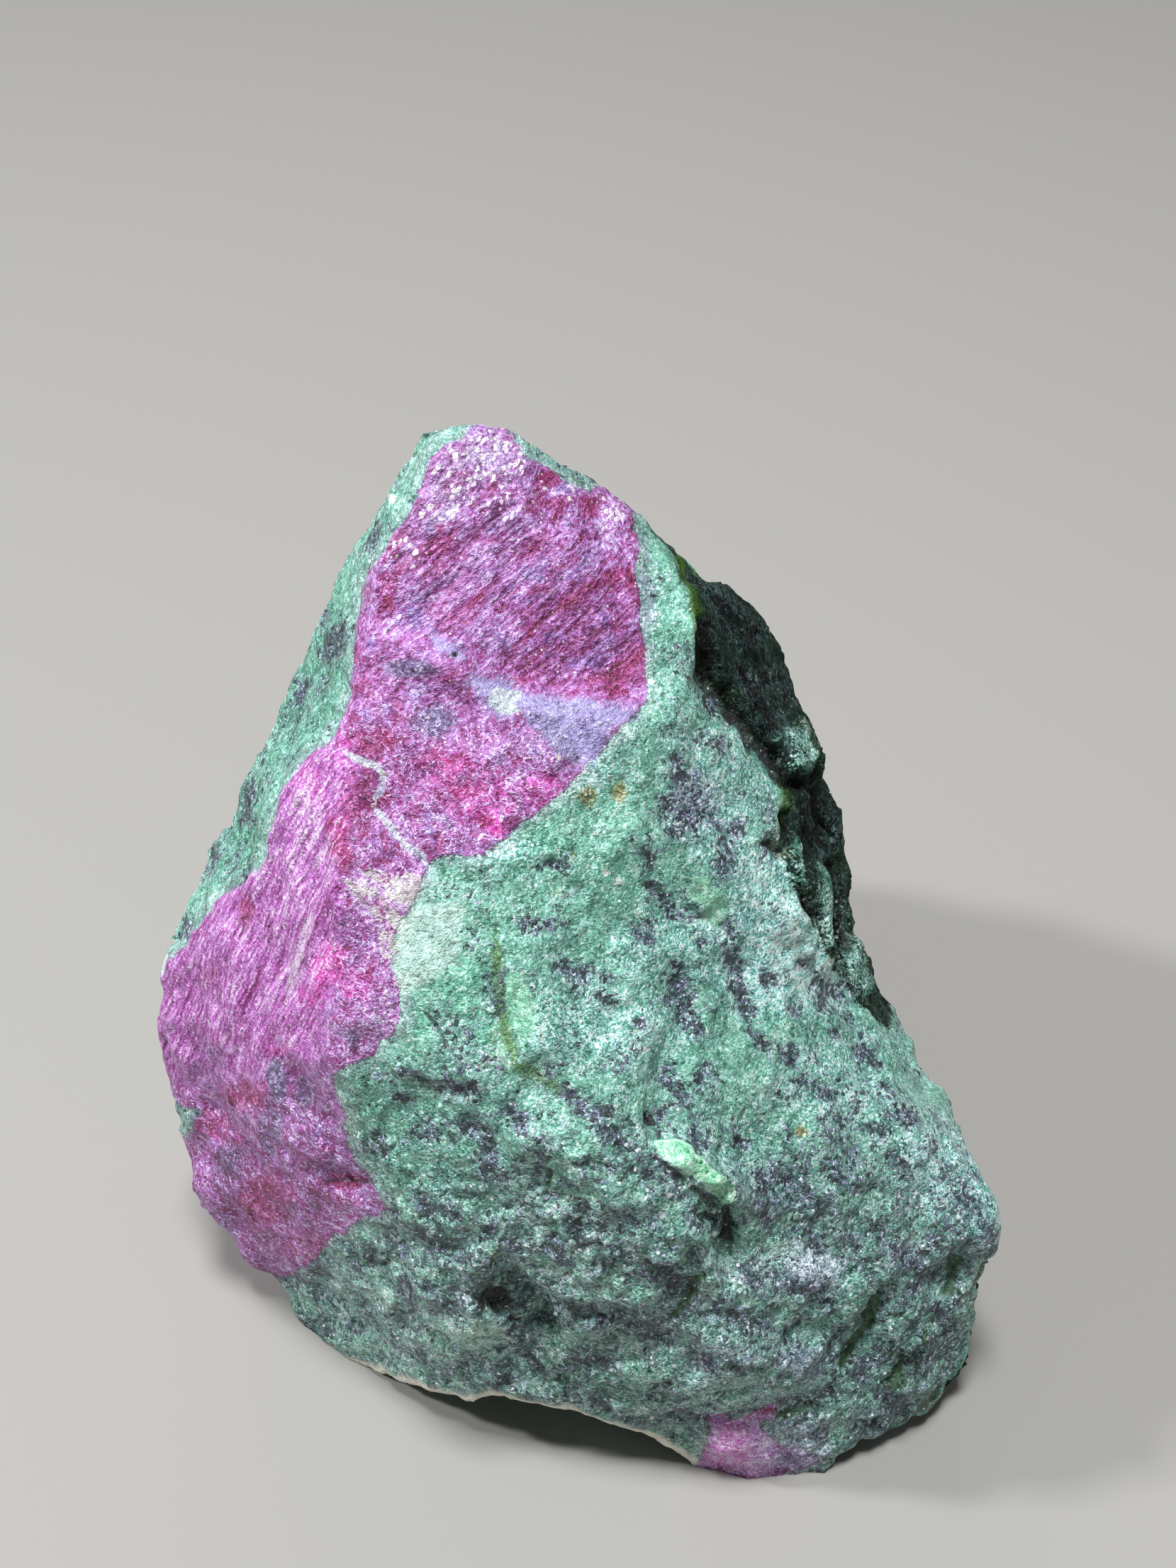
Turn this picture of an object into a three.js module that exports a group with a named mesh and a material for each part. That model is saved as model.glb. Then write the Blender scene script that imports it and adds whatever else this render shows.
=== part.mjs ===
// Rough ruby: one natural broken stone, ruby grown in green zoisite, standing on its broken
// underside. Millimetres, +Z up. X runs to the right across the front of the stone and Y away
// from its front; the origin is on the ground, under the middle of the stone.
//
// The stone is drawn as a cage of named corners joined by facets, one for each break or crystal
// face. The facets are split into small triangles, their edges are worn a little round, and the
// rough relief of the broken rock is laid over them.

import * as THREE from "three";
import { ImprovedNoise } from "three/addons/math/ImprovedNoise.js";

// ---- Driving dimensions, in millimetres ----

const STONE_SIZE = new THREE.Vector3(53, 61, 65.5); // over everything, in X, Y and Z

const COARSE_EDGE = 4.5; // longest edge when the cage is worn round
const FRONT_EDGE = 2.2; // longest edge of the finished surface, on the front and sides
const BACK_EDGE = 2.8;
const UNDERSIDE_EDGE = 6; // the flat underside carries no relief

const COARSE_WEAR = 0.32; // how far a point moves to the middle of its neighbours, 0 to 1
const FINE_WEAR = 0.22;

// The layers of the relief: how wide a swell is, how far it rises, and its place in the noise.
const LUMP = { size: 9, rise: 0.55, seed: 11.3 }; // broad swells of the broken faces
const HACKLE = { size: 4.2, rise: 0.75, seed: 5.7 }; // the uneven, hackly break
const GRIT = { size: 2.3, rise: 0.18, seed: 2.9 }; // grains that stand proud
const MEAN_FOLD = 0.25; // mean of the folded noise, taken off so that flakes add no size
const RELIEF_FADE = 2.5; // height over which the relief's upward part grows from the ground

const STONE_COLOUR = 0x73897f;
const STONE_ROUGHNESS = 0.62;

// Corners of the stone, as [x, y, z].
const CORNERS = {
  // The skyline, from the peak down the right side to the heel.
  peak: [-6, -7.5, 65.5],
  crest_a: [-3.5, -7.5, 65],
  crest_b: [-0.5, -7, 62.5],
  shoulder: [2.5, -7, 61],
  shoulder_out: [4, -6.5, 59],
  notch_top: [6.5, -7, 56],
  flank_a: [9, -4.5, 53],
  flank_b: [12, -1.5, 48],
  flank_c: [13.9, -1.5, 43],
  flank_d: [15.3, -2.5, 39],
  flank_e: [16.8, -4, 34],
  waist: [17.5, -8.5, 31.5],
  hip_a: [18.6, -13, 27.5],
  hip_b: [20.9, -17, 24],
  hip_c: [24.3, -19.5, 20.5],
  elbow: [26.5, -20.5, 17],
  elbow_low: [26.5, -21, 12.5],
  heel_a: [26.2, -21.5, 7.5],
  heel_b: [25.5, -21.5, 2],
  heel_c: [23, -24, 1],

  // The front lower edge, from the toe past the raised lip to the left foot.
  toe_d: [18.5, -26, 1],
  toe_c: [16, -27, 0],
  toe_b: [11, -27.5, 0],
  toe_a: [7.5, -26.5, 0],
  lip_d: [5, -27, 3],
  lip_c: [0.5, -27, 6],
  lip_b: [-5, -26, 6],
  lip_a: [-10, -23.5, 4],
  foot_r: [-15, -18, 0],
  foot_m: [-19, -15, 0],
  foot_l: [-21, -13.5, 2.5],

  // The left side, from the foot up to the peak.
  jaw_a: [-24, -12, 5],
  jaw_b: [-26, -10.5, 9.5],
  notch_l: [-25.5, -10, 13.5],
  cheek_a: [-26.5, -9.5, 17.5],
  cheek_b: [-26.5, -9.5, 22],
  cheek_c: [-25.4, -8.5, 28],
  back_l_a: [-23.5, -6.5, 32],
  back_l_b: [-22, -4, 35],
  back_l_c: [-19, -3, 41],
  back_l_d: [-16, -2.5, 47],
  back_l_e: [-13, -3, 54],
  back_l_f: [-10, -4.5, 60],
  back_l_g: [-8.5, -6, 63],

  // The left ridge, between the green strip and the ruby.
  ridge_a: [-7.5, -11, 64.5],
  ridge_b: [-10, -13, 60.5],
  ridge_c: [-11, -14.5, 57],
  ridge_d: [-11.5, -17, 53],
  ridge_e: [-14.5, -17.5, 48.5],
  ridge_f: [-17.5, -16, 41.5],
  ridge_g: [-22.5, -13, 33.5],

  // The upper ruby face, and the step below it.
  ruby_top: [-1.5, -10.5, 60],
  ruby_l: [-7.5, -15, 56.5],
  ruby_m: [-3, -15, 53.5],
  ruby_r: [4, -14, 52],
  ledge_l: [-8, -16.5, 56.5],
  ledge_m: [-3.5, -17.5, 53.5],
  ledge_r: [4, -16.5, 52],

  // The right ridge, and the ribs on the steep side beyond it.
  brow_a: [7, -11.5, 55],
  brow_b: [7, -13, 52.5],
  brow_c: [10, -12.5, 48.5],
  brow_d: [12.5, -12, 44],
  brow_e: [12, -15, 42.5],
  rib_a: [14, -10, 40],
  rib_b: [15, -14, 34],

  // The middle of the front, down to the break that crosses it.
  mid_l: [-12, -20.5, 49],
  mid_ll: [-12.5, -22.7, 43],
  mid_c: [-4, -21.5, 46],
  mid_r: [3, -19.5, 46.5],
  vale_a: [6, -21, 39.5],
  vale_b: [5.5, -26, 32.5],
  slope_a: [11, -19.5, 35],
  slope_b: [16, -20.5, 27],
  slope_c: [13, -25, 23],
  break_l: [-18, -20.5, 29],
  break_a: [-12.5, -25.5, 36],
  break_b: [-6.5, -26.5, 37.5],
  break_c: [-1.5, -28, 34.5],
  break_d: [3.5, -29.5, 31.5],
  break_e: [9, -30, 28.5],

  // The steep lower face.
  pit_rim: [10, -28, 22.5],
  low_a: [-15.5, -22, 21],
  low_b: [-8.5, -27, 23],
  low_c: [0, -29.5, 22],
  low_d: [7, -30.5, 19],
  low_e: [16, -27, 9],
  low_r_a: [14.5, -26.5, 16.5],
  low_r_b: [18.5, -25.5, 17],
  low_r_c: [23, -23, 13],

  // The back.
  back_top: [-3, -1, 59],
  back_crest: [4, 1, 52],
  back_up_l: [-12, 11, 46],
  back_up_r: [7, 15, 41],
  back_mid_l: [-20, 17, 30],
  back_mid: [-3, 24, 32],
  back_mid_r: [12, 16, 28],
  back_low_l: [-23.5, 9, 18],
  back_low_ll: [-17, 23.5, 8],
  back_low: [-3, 30.5, 17],
  back_low_r: [14, 26, 9],
  back_side_r: [19.5, 5, 19],
  back_foot_r: [22, -2, 4],

  // The underside, which lies flat on the ground.
  base_l: [-20, -7, 0],
  base_back_l: [-15, 19, 0],
  base_back: [-2, 26, 0],
  base_back_r: [13, 21, 0],
  base_r: [20.5, -2, 0],
  base_front_r: [21.5, -19, 0],
  base_mid: [-1, -5, 0],

  // The hollow under the raised lip, and the edge of the underside round it.
  hollow: [-3, -15, 4.5],
  base_hollow_l: [-11, -9, 0],
  base_hollow_r: [5.5, -15, 0],
};

// Facets of the stone: corners in order round the facet, anticlockwise from outside.
const FRONT_FACETS = [
  // The narrow green strip down the left side.
  "peak back_l_g ridge_a",
  "ridge_a back_l_g back_l_f ridge_b",
  "ridge_b back_l_f back_l_e ridge_c",
  "ridge_c back_l_e back_l_d ridge_d",
  "ridge_d back_l_d back_l_c ridge_e",
  "ridge_e back_l_c back_l_b ridge_f",
  "ridge_f back_l_b back_l_a ridge_g",
  "ridge_g back_l_a cheek_c",

  // The fibrous ruby face below the ridge, down to the notch.
  "ridge_d ridge_e mid_l",
  "ridge_e ridge_f mid_ll mid_l",
  "ridge_f ridge_g break_l mid_ll",
  "ridge_g cheek_c cheek_b break_l",
  "break_l cheek_b cheek_a notch_l",
  "mid_ll break_l break_a",

  // The upper ruby face.
  "peak ridge_a ruby_top crest_a",
  "crest_a ruby_top crest_b",
  "crest_b ruby_top shoulder",
  "ridge_a ridge_b ruby_top",
  "ridge_b ridge_c ruby_l ruby_top",
  "ruby_top ruby_l ruby_m",
  "ruby_top ruby_m ruby_r",
  "shoulder ruby_top ruby_r shoulder_out",
  "shoulder_out ruby_r brow_b brow_a notch_top",

  // The step below it.
  "ruby_l ledge_l ledge_m ruby_m",
  "ruby_m ledge_m ledge_r ruby_r",
  "ridge_c ridge_d ledge_l ruby_l",
  "ruby_r ledge_r brow_b",

  // The middle of the front.
  "ridge_d mid_l mid_c ledge_m ledge_l",
  "ledge_m mid_c mid_r ledge_r",
  "ledge_r mid_r brow_c brow_b",
  "mid_r vale_a brow_e brow_d brow_c",
  "mid_l mid_ll break_a break_b mid_c",
  "mid_c break_b break_c",
  "mid_c break_c vale_b vale_a mid_r",
  "break_c break_d vale_b",
  "vale_b break_d break_e slope_c",
  "vale_a vale_b slope_c slope_b slope_a",
  "vale_a slope_a brow_e",

  // The steep right side.
  "brow_e slope_a rib_b rib_a",
  "brow_e rib_a brow_d",
  "slope_a slope_b hip_a rib_b",
  "rib_b hip_a waist",
  "rib_a rib_b waist flank_e",
  "brow_d rib_a flank_e flank_d",
  "brow_c brow_d flank_d flank_c",
  "brow_b brow_c flank_c flank_b",
  "brow_a brow_b flank_b flank_a",
  "notch_top brow_a flank_a",
  "slope_b hip_b hip_a",
  "slope_b slope_c low_r_b hip_c hip_b",
  "low_r_b low_r_c elbow hip_c",
  "low_r_c elbow_low elbow",

  // The pit at the end of the break.
  "slope_c pit_rim low_r_a low_r_b",
  "break_e pit_rim slope_c",
  "break_e low_d pit_rim",

  // The steep lower face, from the left.
  "break_l notch_l jaw_b low_a",
  "break_a break_l low_a",
  "low_a jaw_b jaw_a foot_l",
  "low_a foot_l foot_m foot_r low_b",
  "break_a low_a low_b break_b",
  "low_b foot_r lip_a lip_b low_c",
  "break_b low_b low_c break_c",
  "break_c low_c break_d",
  "break_d low_c low_d break_e",
  "low_c lip_b lip_c lip_d low_d",
  "low_d lip_d toe_a toe_b low_e",
  "pit_rim low_d low_e low_r_a",
  "low_e toe_b toe_c toe_d",
  "low_r_a low_e low_r_b",
  "low_r_b low_e toe_d heel_c low_r_c",
  "low_r_c heel_c heel_b heel_a elbow_low",
];

const BACK_FACETS = [
  // The back, from the top down.
  "back_l_g peak back_top",
  "peak crest_a back_top",
  "crest_a crest_b back_crest back_top",
  "crest_b shoulder back_crest",
  "back_crest shoulder shoulder_out notch_top flank_a",
  "back_l_d back_l_e back_l_f back_top back_up_l",
  "back_l_f back_l_g back_top",
  "back_top back_crest back_up_r back_up_l",
  "flank_a flank_b back_up_r back_crest",
  "flank_b flank_c flank_d back_up_r",
  "flank_d flank_e back_mid_r back_up_r",
  "back_mid_r flank_e waist hip_a",
  "back_up_l back_up_r back_mid back_mid_l",
  "back_up_r back_mid_r back_mid",
  "back_l_b back_l_c back_l_d back_up_l back_mid_l",
  "cheek_c back_l_a back_l_b back_mid_l",
  "cheek_b cheek_c back_mid_l back_low_l",
  "back_low_l notch_l cheek_a cheek_b",
  "back_mid_r hip_a hip_b back_side_r",
  "back_side_r hip_b hip_c elbow",
  "back_side_r elbow elbow_low heel_a back_foot_r",
  "back_mid_l back_mid back_low back_low_ll back_low_l",
  "back_mid back_mid_r back_low_r back_low",
  "back_mid_r back_side_r back_low_r",
  "back_side_r back_foot_r base_r base_back_r back_low_r",
  "back_low_r base_back_r base_back back_low",
  "back_low base_back base_back_l back_low_ll",
  "back_low_l back_low_ll base_back_l base_l",
  "jaw_b notch_l back_low_l base_l",

  // The bevel round the underside, and the hollow under the lip.
  "foot_m foot_l base_l",
  "foot_l jaw_a jaw_b base_l",
  "heel_a heel_b base_front_r base_r back_foot_r",
  "heel_b heel_c base_front_r",
  "heel_c toe_d base_front_r",
  "toe_d toe_c base_front_r",
  "toe_a lip_d hollow base_hollow_r",
  "lip_d lip_c hollow",
  "lip_c lip_b hollow",
  "lip_b lip_a hollow",
  "lip_a foot_r base_hollow_l hollow",
  "base_hollow_l base_mid hollow",
  "base_mid base_hollow_r hollow",
];

const UNDERSIDE_FACETS = [
  "foot_r foot_m base_l base_hollow_l",
  "base_front_r toe_c toe_b toe_a base_hollow_r",
  "base_hollow_r base_mid base_r base_front_r",
  "base_mid base_hollow_l base_l base_back_l base_back",
  "base_mid base_back base_back_r base_r",
];

// Marks in the broken faces. Each is sunk along its line from one point to the other, to its
// depth on the line and to nothing at its radius. A depth below zero stands proud.
const MARKS = [
  // The step below the upper ruby face, and the dent in the shoulder above it.
  { from: [-9, -14.5, 57], to: [-7.5, -15, 56.5], radius: 1.8, depth: 0.6 },
  { from: [-9, -17, 55], to: [-6, -17.5, 53], radius: 2.6, depth: 0.7 },
  { from: [1.5, -7.5, 61], to: [2, -9, 59], radius: 2.4, depth: 0.6 },

  // The pit at the end of the break, the groove under the break, and the lip over the groove.
  { from: [8.5, -30, 28.5], to: [9.5, -28.5, 22], radius: 1.6, depth: 2.3 },
  { from: [-2.5, -27.5, 35], to: [7.5, -30, 28], radius: 1.9, depth: 0.9 },
  { from: [5, -28, 31.5], to: [9.5, -28.5, 28], radius: 1.6, depth: -0.7 },

  // Grooves and swells in the middle of the front.
  { from: [5.5, -24.5, 34.5], to: [5, -27, 32], radius: 1.6, depth: 1.4 },
  { from: [-4.5, -23.5, 42], to: [-4, -26.5, 37.5], radius: 1.9, depth: 0.5 },
  { from: [-2, -24, 41], to: [-2, -26, 37.5], radius: 1.9, depth: -0.5 },
  { from: [4.5, -20, 44], to: [7, -20, 40], radius: 1.8, depth: 0.8 },
  { from: [6, -22, 38], to: [7, -23, 35], radius: 1.8, depth: 0.8 },
  { from: [9.5, -19.5, 37.5], to: [10.5, -20.5, 34.5], radius: 1.6, depth: 0.7 },
  { from: [8, -18.5, 42], to: [8.5, -19, 39.5], radius: 2.4, depth: -0.7 },
  { from: [-7, -25.5, 39.5], to: [-5.5, -26, 38], radius: 1.6, depth: 0.7 },

  // The crooked step that the pale vein follows across the ruby, and the seam beside it.
  { from: [-12, -18.5, 51.5], to: [-10, -19.5, 50], radius: 1.6, depth: 0.5 },
  { from: [-10, -20.5, 49], to: [-7.5, -22, 46.5], radius: 1.6, depth: 0.5 },
  { from: [-12, -20.5, 49.5], to: [-12.5, -22.5, 44], radius: 2.2, depth: -0.4 },

  // Pockets in the lower ruby, and the notch in its left edge.
  { from: [-16.5, -22, 31], to: [-16, -22, 28.5], radius: 2, depth: 0.9 },
  { from: [-14.5, -22.5, 22.5], to: [-12, -24.5, 25], radius: 1.4, depth: 1.2 },
  { from: [-22.5, -15, 24.5], to: [-24.5, -13, 14.5], radius: 2, depth: 0.6 },

  // The right side: its grooves, the block between them, and two ribs.
  { from: [7, -13, 52.5], to: [9.5, -12.5, 49], radius: 1.6, depth: 0.7 },
  { from: [8, -12, 51.5], to: [12, -11.5, 45.5], radius: 1.9, depth: 1.2 },
  { from: [16.5, -6.5, 35], to: [16.5, -12, 32], radius: 1.7, depth: 1 },
  { from: [13.5, -5.5, 43], to: [14, -7.5, 42], radius: 2.2, depth: -1.4 },
  { from: [13.5, -12, 40.5], to: [13.5, -14.5, 39], radius: 1.5, depth: -0.9 },
  { from: [15, -10.5, 37], to: [15.5, -14, 33], radius: 1.6, depth: -1 },

  // Knobs, dents and clefts of the lower right.
  { from: [13.5, -22.5, 26.5], to: [15, -23.5, 23.5], radius: 3.2, depth: -0.8 },
  { from: [19, -20, 25], to: [20.5, -20.5, 23], radius: 2.8, depth: -0.9 },
  { from: [16, -14.5, 31], to: [17, -14.5, 29.5], radius: 2.4, depth: 0.7 },
  { from: [13.5, -26.5, 19], to: [16, -26, 16], radius: 3.2, depth: -0.8 },
  { from: [21, -24, 17.5], to: [21.5, -24, 14.5], radius: 2.2, depth: 0.8 },
  { from: [19, -25.5, 15], to: [17.5, -26, 11], radius: 2, depth: 1.2 },
  { from: [24, -22.5, 14.5], to: [23, -23, 13], radius: 1.7, depth: 1.2 },

  // The lower face: its pocket with the overhang beside it, its clefts and its swells.
  { from: [-3.5, -28, 19.5], to: [-2.5, -28, 16], radius: 2.2, depth: 1.8 },
  { from: [-5.5, -28, 21.5], to: [-6, -27, 16], radius: 2, depth: -0.9 },
  { from: [6.5, -30, 23.5], to: [6, -30, 18.5], radius: 2.1, depth: 1.3 },
  { from: [-2, -28, 16.5], to: [-2.5, -27.5, 11], radius: 1.8, depth: 1 },
  { from: [4, -29.5, 16], to: [6.5, -29.5, 14.5], radius: 3, depth: 0.8 },
  { from: [-16.5, -18.5, 6.5], to: [-13.5, -20.5, 6], radius: 3, depth: 0.6 },
  { from: [-0.5, -28.5, 33], to: [2, -29, 30], radius: 3.6, depth: -0.9 },
  { from: [-9, -26, 18.5], to: [-7, -26.5, 14.5], radius: 3.4, depth: -0.8 },
  { from: [10, -29.5, 15.5], to: [12, -28.5, 11.5], radius: 3.4, depth: -0.8 },

  // The toe.
  { from: [8.5, -28.5, 7], to: [12.5, -28, 8], radius: 1.5, depth: 0.7 },
  { from: [9.5, -28, 4.5], to: [11.5, -27.5, 3], radius: 2.2, depth: -0.6 },

  // Hollows and swells of the back.
  { from: [-9, 13, 44], to: [-5, 18, 38], radius: 5, depth: 1.4 },
  { from: [3, 20, 37], to: [7, 21, 28], radius: 5, depth: -1.3 },
  { from: [-12, 21, 27], to: [-15, 22, 17], radius: 5, depth: 1.5 },
  { from: [4, 29, 20], to: [9, 28, 10], radius: 4.5, depth: 1.2 },
  { from: [-8, 28, 18], to: [-10, 27, 8], radius: 4, depth: -1.1 },
  { from: [16, 4, 28], to: [18, 5, 18], radius: 4, depth: 1.2 },
  { from: [-22, 10, 26], to: [-23, 6, 18], radius: 4, depth: -1 },
  { from: [-17, 3, 44], to: [-18, 6, 36], radius: 5, depth: 0.7 },
  { from: [-15, 13, 36], to: [-4, 20, 33], radius: 3, depth: 1.1 },
  { from: [-17, 18, 24], to: [-6, 26, 22], radius: 3, depth: -0.9 },
  { from: [-1, 4, 52], to: [6, 9, 45], radius: 3.2, depth: 1 },
  { from: [13, 12, 31], to: [17, 12, 22], radius: 3, depth: -0.9 },
  { from: [5, 26, 25], to: [12, 21, 20], radius: 3, depth: 1 },
  { from: [-20, 12, 30], to: [-23, 8, 21], radius: 2.6, depth: 0.9 },
];

// ---- The surface: a list of points, and triangles that index it ----

// Each facet is fanned into triangles, which keep the longest edge that is wanted on them.
function cageSurface() {
  const names = Object.keys(CORNERS);
  const points = names.map((name) => new THREE.Vector3(...CORNERS[name]));
  const triangles = [];
  const addFacets = (facets, longestEdge) => {
    for (const facet of facets) {
      const ring = facet.split(" ").map((name) => names.indexOf(name));
      for (let i = 1; i < ring.length - 1; i += 1) {
        triangles.push({ corners: [ring[0], ring[i], ring[i + 1]], longestEdge });
      }
    }
  };
  addFacets(FRONT_FACETS, FRONT_EDGE);
  addFacets(BACK_FACETS, BACK_EDGE);
  addFacets(UNDERSIDE_FACETS, UNDERSIDE_EDGE);
  return { points, triangles };
}

// An edge's key is the same from both of its sides.
function edgeKey(a, b) {
  return a < b ? `${a} ${b}` : `${b} ${a}`;
}

// Adds a point in the middle of each edge that is over its limit: the smaller limit of its two
// triangles, and never under the floor. The result maps each split edge to its new point.
function splitPoints({ points, triangles }, floor) {
  const limits = new Map();
  for (const { corners, longestEdge } of triangles) {
    corners.forEach((a, i) => {
      const key = edgeKey(a, corners[(i + 1) % 3]);
      limits.set(key, Math.min(longestEdge, limits.get(key) ?? longestEdge));
    });
  }
  const middles = new Map();
  for (const [key, limit] of limits) {
    const [a, b] = key.split(" ").map((index) => points[index]);
    if (a.distanceTo(b) > Math.max(limit, floor)) {
      middles.set(key, points.length);
      points.push(a.clone().lerp(b, 0.5));
    }
  }
  return middles;
}

// The corners of the triangles that replace one triangle, given the new points on its edges.
function splitTriangle(corners, middles, points) {
  const onEdge = corners.map((a, i) => middles.get(edgeKey(a, corners[(i + 1) % 3])));
  const isSplit = onEdge.map((middle) => middle !== undefined);
  const count = isSplit.filter(Boolean).length;
  if (count === 0) {
    return [corners];
  }
  // Turn the triangle until its first edge is split and, unless all are, its last is whole.
  const first = [0, 1, 2].find((i) => isSplit[i] && (count === 3 || !isSplit[(i + 2) % 3]));
  const [a, b, c] = [0, 1, 2].map((i) => corners[(first + i) % 3]);
  const [ab, bc, ca] = [0, 1, 2].map((i) => onEdge[(first + i) % 3]);
  if (count === 1) {
    return [[a, ab, c], [ab, b, c]];
  }
  if (count === 3) {
    return [[a, ab, ca], [b, bc, ab], [c, ca, bc], [ab, bc, ca]];
  }
  // Two edges are split: the part left is cut along its shorter diagonal.
  return points[a].distanceTo(points[bc]) < points[ab].distanceTo(points[c])
    ? [[ab, b, bc], [a, ab, bc], [a, bc, c]]
    : [[ab, b, bc], [a, ab, c], [ab, bc, c]];
}

// Splits the surface until no edge is over its limit.
function split(surface, floor) {
  let middles = splitPoints(surface, floor);
  while (middles.size > 0) {
    surface.triangles = surface.triangles.flatMap(({ corners, longestEdge }) =>
      splitTriangle(corners, middles, surface.points).map((made) => ({ corners: made, longestEdge })),
    );
    middles = splitPoints(surface, floor);
  }
}

// Moves each point towards the middle of its neighbours, which rounds the edges of the stone.
// Points on the ground stay.
function wear({ points, triangles }, share) {
  const neighbours = points.map(() => new Set());
  for (const { corners } of triangles) {
    corners.forEach((a, i) => {
      neighbours[a].add(corners[(i + 1) % 3]);
      neighbours[a].add(corners[(i + 2) % 3]);
    });
  }
  const before = points.map((point) => point.clone());
  points.forEach((point, index) => {
    if (point.z === 0) {
      return;
    }
    const middle = new THREE.Vector3();
    neighbours[index].forEach((other) => middle.add(before[other]));
    point.lerp(middle.divideScalar(neighbours[index].size), share);
  });
}

// ---- The relief of the broken rock ----

const noise = new ImprovedNoise();

// A smooth random swell at a point.
function swell(point, { size, rise, seed }) {
  return rise * noise.noise(point.x / size + seed, point.y / size - seed, point.z / size);
}

// A folded swell, with sharp crests where it folds, as between the scars of chipped flakes.
function flakes(point, { size, rise, seed }) {
  const folded = Math.abs(noise.noise(point.x / size - seed, point.y / size, point.z / size + seed));
  return rise * (MEAN_FOLD - folded);
}

// How far the marks sink a point.
function markDepth(point) {
  const line = new THREE.Line3();
  const nearest = new THREE.Vector3();
  let depth = 0;
  for (const mark of MARKS) {
    line.start.fromArray(mark.from);
    line.end.fromArray(mark.to);
    line.closestPointToPoint(point, true, nearest);
    const reach = Math.min(1, nearest.distanceTo(point) / mark.radius);
    depth += mark.depth * (1 - reach * reach) ** 2;
  }
  return depth;
}

// Raises and sinks each point along its normal. A point on the ground moves only along it.
function roughen(surface) {
  const geometry = geometryOf(surface);
  geometry.computeVertexNormals();
  const normals = geometry.getAttribute("normal");
  const normal = new THREE.Vector3();
  surface.points.forEach((point, index) => {
    const relief = swell(point, LUMP) + flakes(point, HACKLE) + swell(point, GRIT);
    normal.fromBufferAttribute(normals, index);
    normal.z *= THREE.MathUtils.smoothstep(point.z, 0, RELIEF_FADE);
    point.addScaledVector(normal, relief - markDepth(point));
  });
}

function geometryOf({ points, triangles }) {
  const positions = points.flatMap((point) => point.toArray());
  const geometry = new THREE.BufferGeometry();
  geometry.setAttribute("position", new THREE.Float32BufferAttribute(positions, 3));
  geometry.setIndex(triangles.flatMap(({ corners }) => corners));
  return geometry;
}

// Centres the stone over the origin and brings it to its size. The ground stays at z = 0.
function fitToSize(geometry) {
  geometry.computeBoundingBox();
  const middle = geometry.boundingBox.getCenter(new THREE.Vector3());
  const size = geometry.boundingBox.getSize(new THREE.Vector3());
  const scale = STONE_SIZE.clone().divide(size);
  geometry.translate(-middle.x, -middle.y, 0);
  geometry.scale(scale.x, scale.y, scale.z);
}

// ---- The stone ----

function stoneGeometry() {
  const surface = cageSurface();
  split(surface, COARSE_EDGE);
  wear(surface, COARSE_WEAR);
  split(surface, 0);
  wear(surface, FINE_WEAR);
  roughen(surface);
  const geometry = geometryOf(surface);
  fitToSize(geometry);
  geometry.computeVertexNormals();
  return geometry;
}

const stone = new THREE.Mesh(
  stoneGeometry(),
  new THREE.MeshStandardMaterial({
    color: STONE_COLOUR,
    roughness: STONE_ROUGHNESS,
    metalness: 0,
  }),
);
stone.name = "rough_ruby";

const root = new THREE.Group();
root.add(stone);

export default root;
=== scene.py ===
# Rough ruby: one broken stone of green zoisite with a rose ruby crystal grown in its front.
# The stone stands on the ground at z = 0, +Z up, with its front towards -Y. Blender lengths are
# metres. Points, sizes and distances of the stone's surface are kept in millimetres, and places
# on its front are given in the picture plane of the scene's camera, in pixels of its image.
import math

import bpy
import numpy as np
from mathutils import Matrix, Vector


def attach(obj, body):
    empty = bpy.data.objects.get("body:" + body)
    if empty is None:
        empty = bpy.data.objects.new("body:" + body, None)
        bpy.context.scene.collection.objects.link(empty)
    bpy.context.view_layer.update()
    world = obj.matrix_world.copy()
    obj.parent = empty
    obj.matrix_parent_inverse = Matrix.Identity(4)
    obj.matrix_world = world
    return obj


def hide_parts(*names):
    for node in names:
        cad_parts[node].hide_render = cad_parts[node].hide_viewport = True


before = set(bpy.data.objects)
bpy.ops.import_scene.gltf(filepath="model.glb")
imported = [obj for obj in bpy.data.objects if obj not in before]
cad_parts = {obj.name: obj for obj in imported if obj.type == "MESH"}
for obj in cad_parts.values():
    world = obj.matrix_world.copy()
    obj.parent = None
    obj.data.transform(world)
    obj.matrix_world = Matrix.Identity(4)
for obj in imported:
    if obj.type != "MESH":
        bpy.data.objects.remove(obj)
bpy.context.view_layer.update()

MM = 0.001

# ---- The camera ----

IMAGE_WIDTH, IMAGE_HEIGHT = 1659, 2212
CAMERA_AT = np.array([1.0, -110.5, 120.0])
CAMERA_DIP = math.radians(37.5)
VIEW_ANGLE = math.radians(40)
FOCAL = IMAGE_HEIGHT / 2 / math.tan(VIEW_ANGLE / 2)
PIXEL_MM = 0.049  # what one pixel covers on the front of the stone
SENSOR_MM = 36.0

AHEAD = np.array([0, math.cos(CAMERA_DIP), -math.sin(CAMERA_DIP)])
UPWARD = np.array([0, math.sin(CAMERA_DIP), math.cos(CAMERA_DIP)])


def in_picture(points):
    """Where points are in the picture, as (x, y) pixels from its upper left corner."""
    offset = points - CAMERA_AT
    depth = offset @ AHEAD
    x = IMAGE_WIDTH / 2 + FOCAL * offset[:, 0] / depth
    y = IMAGE_HEIGHT / 2 - FOCAL * (offset @ UPWARD) / depth
    return np.stack([x, y], axis=1)


# ---- Noise ----

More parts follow.
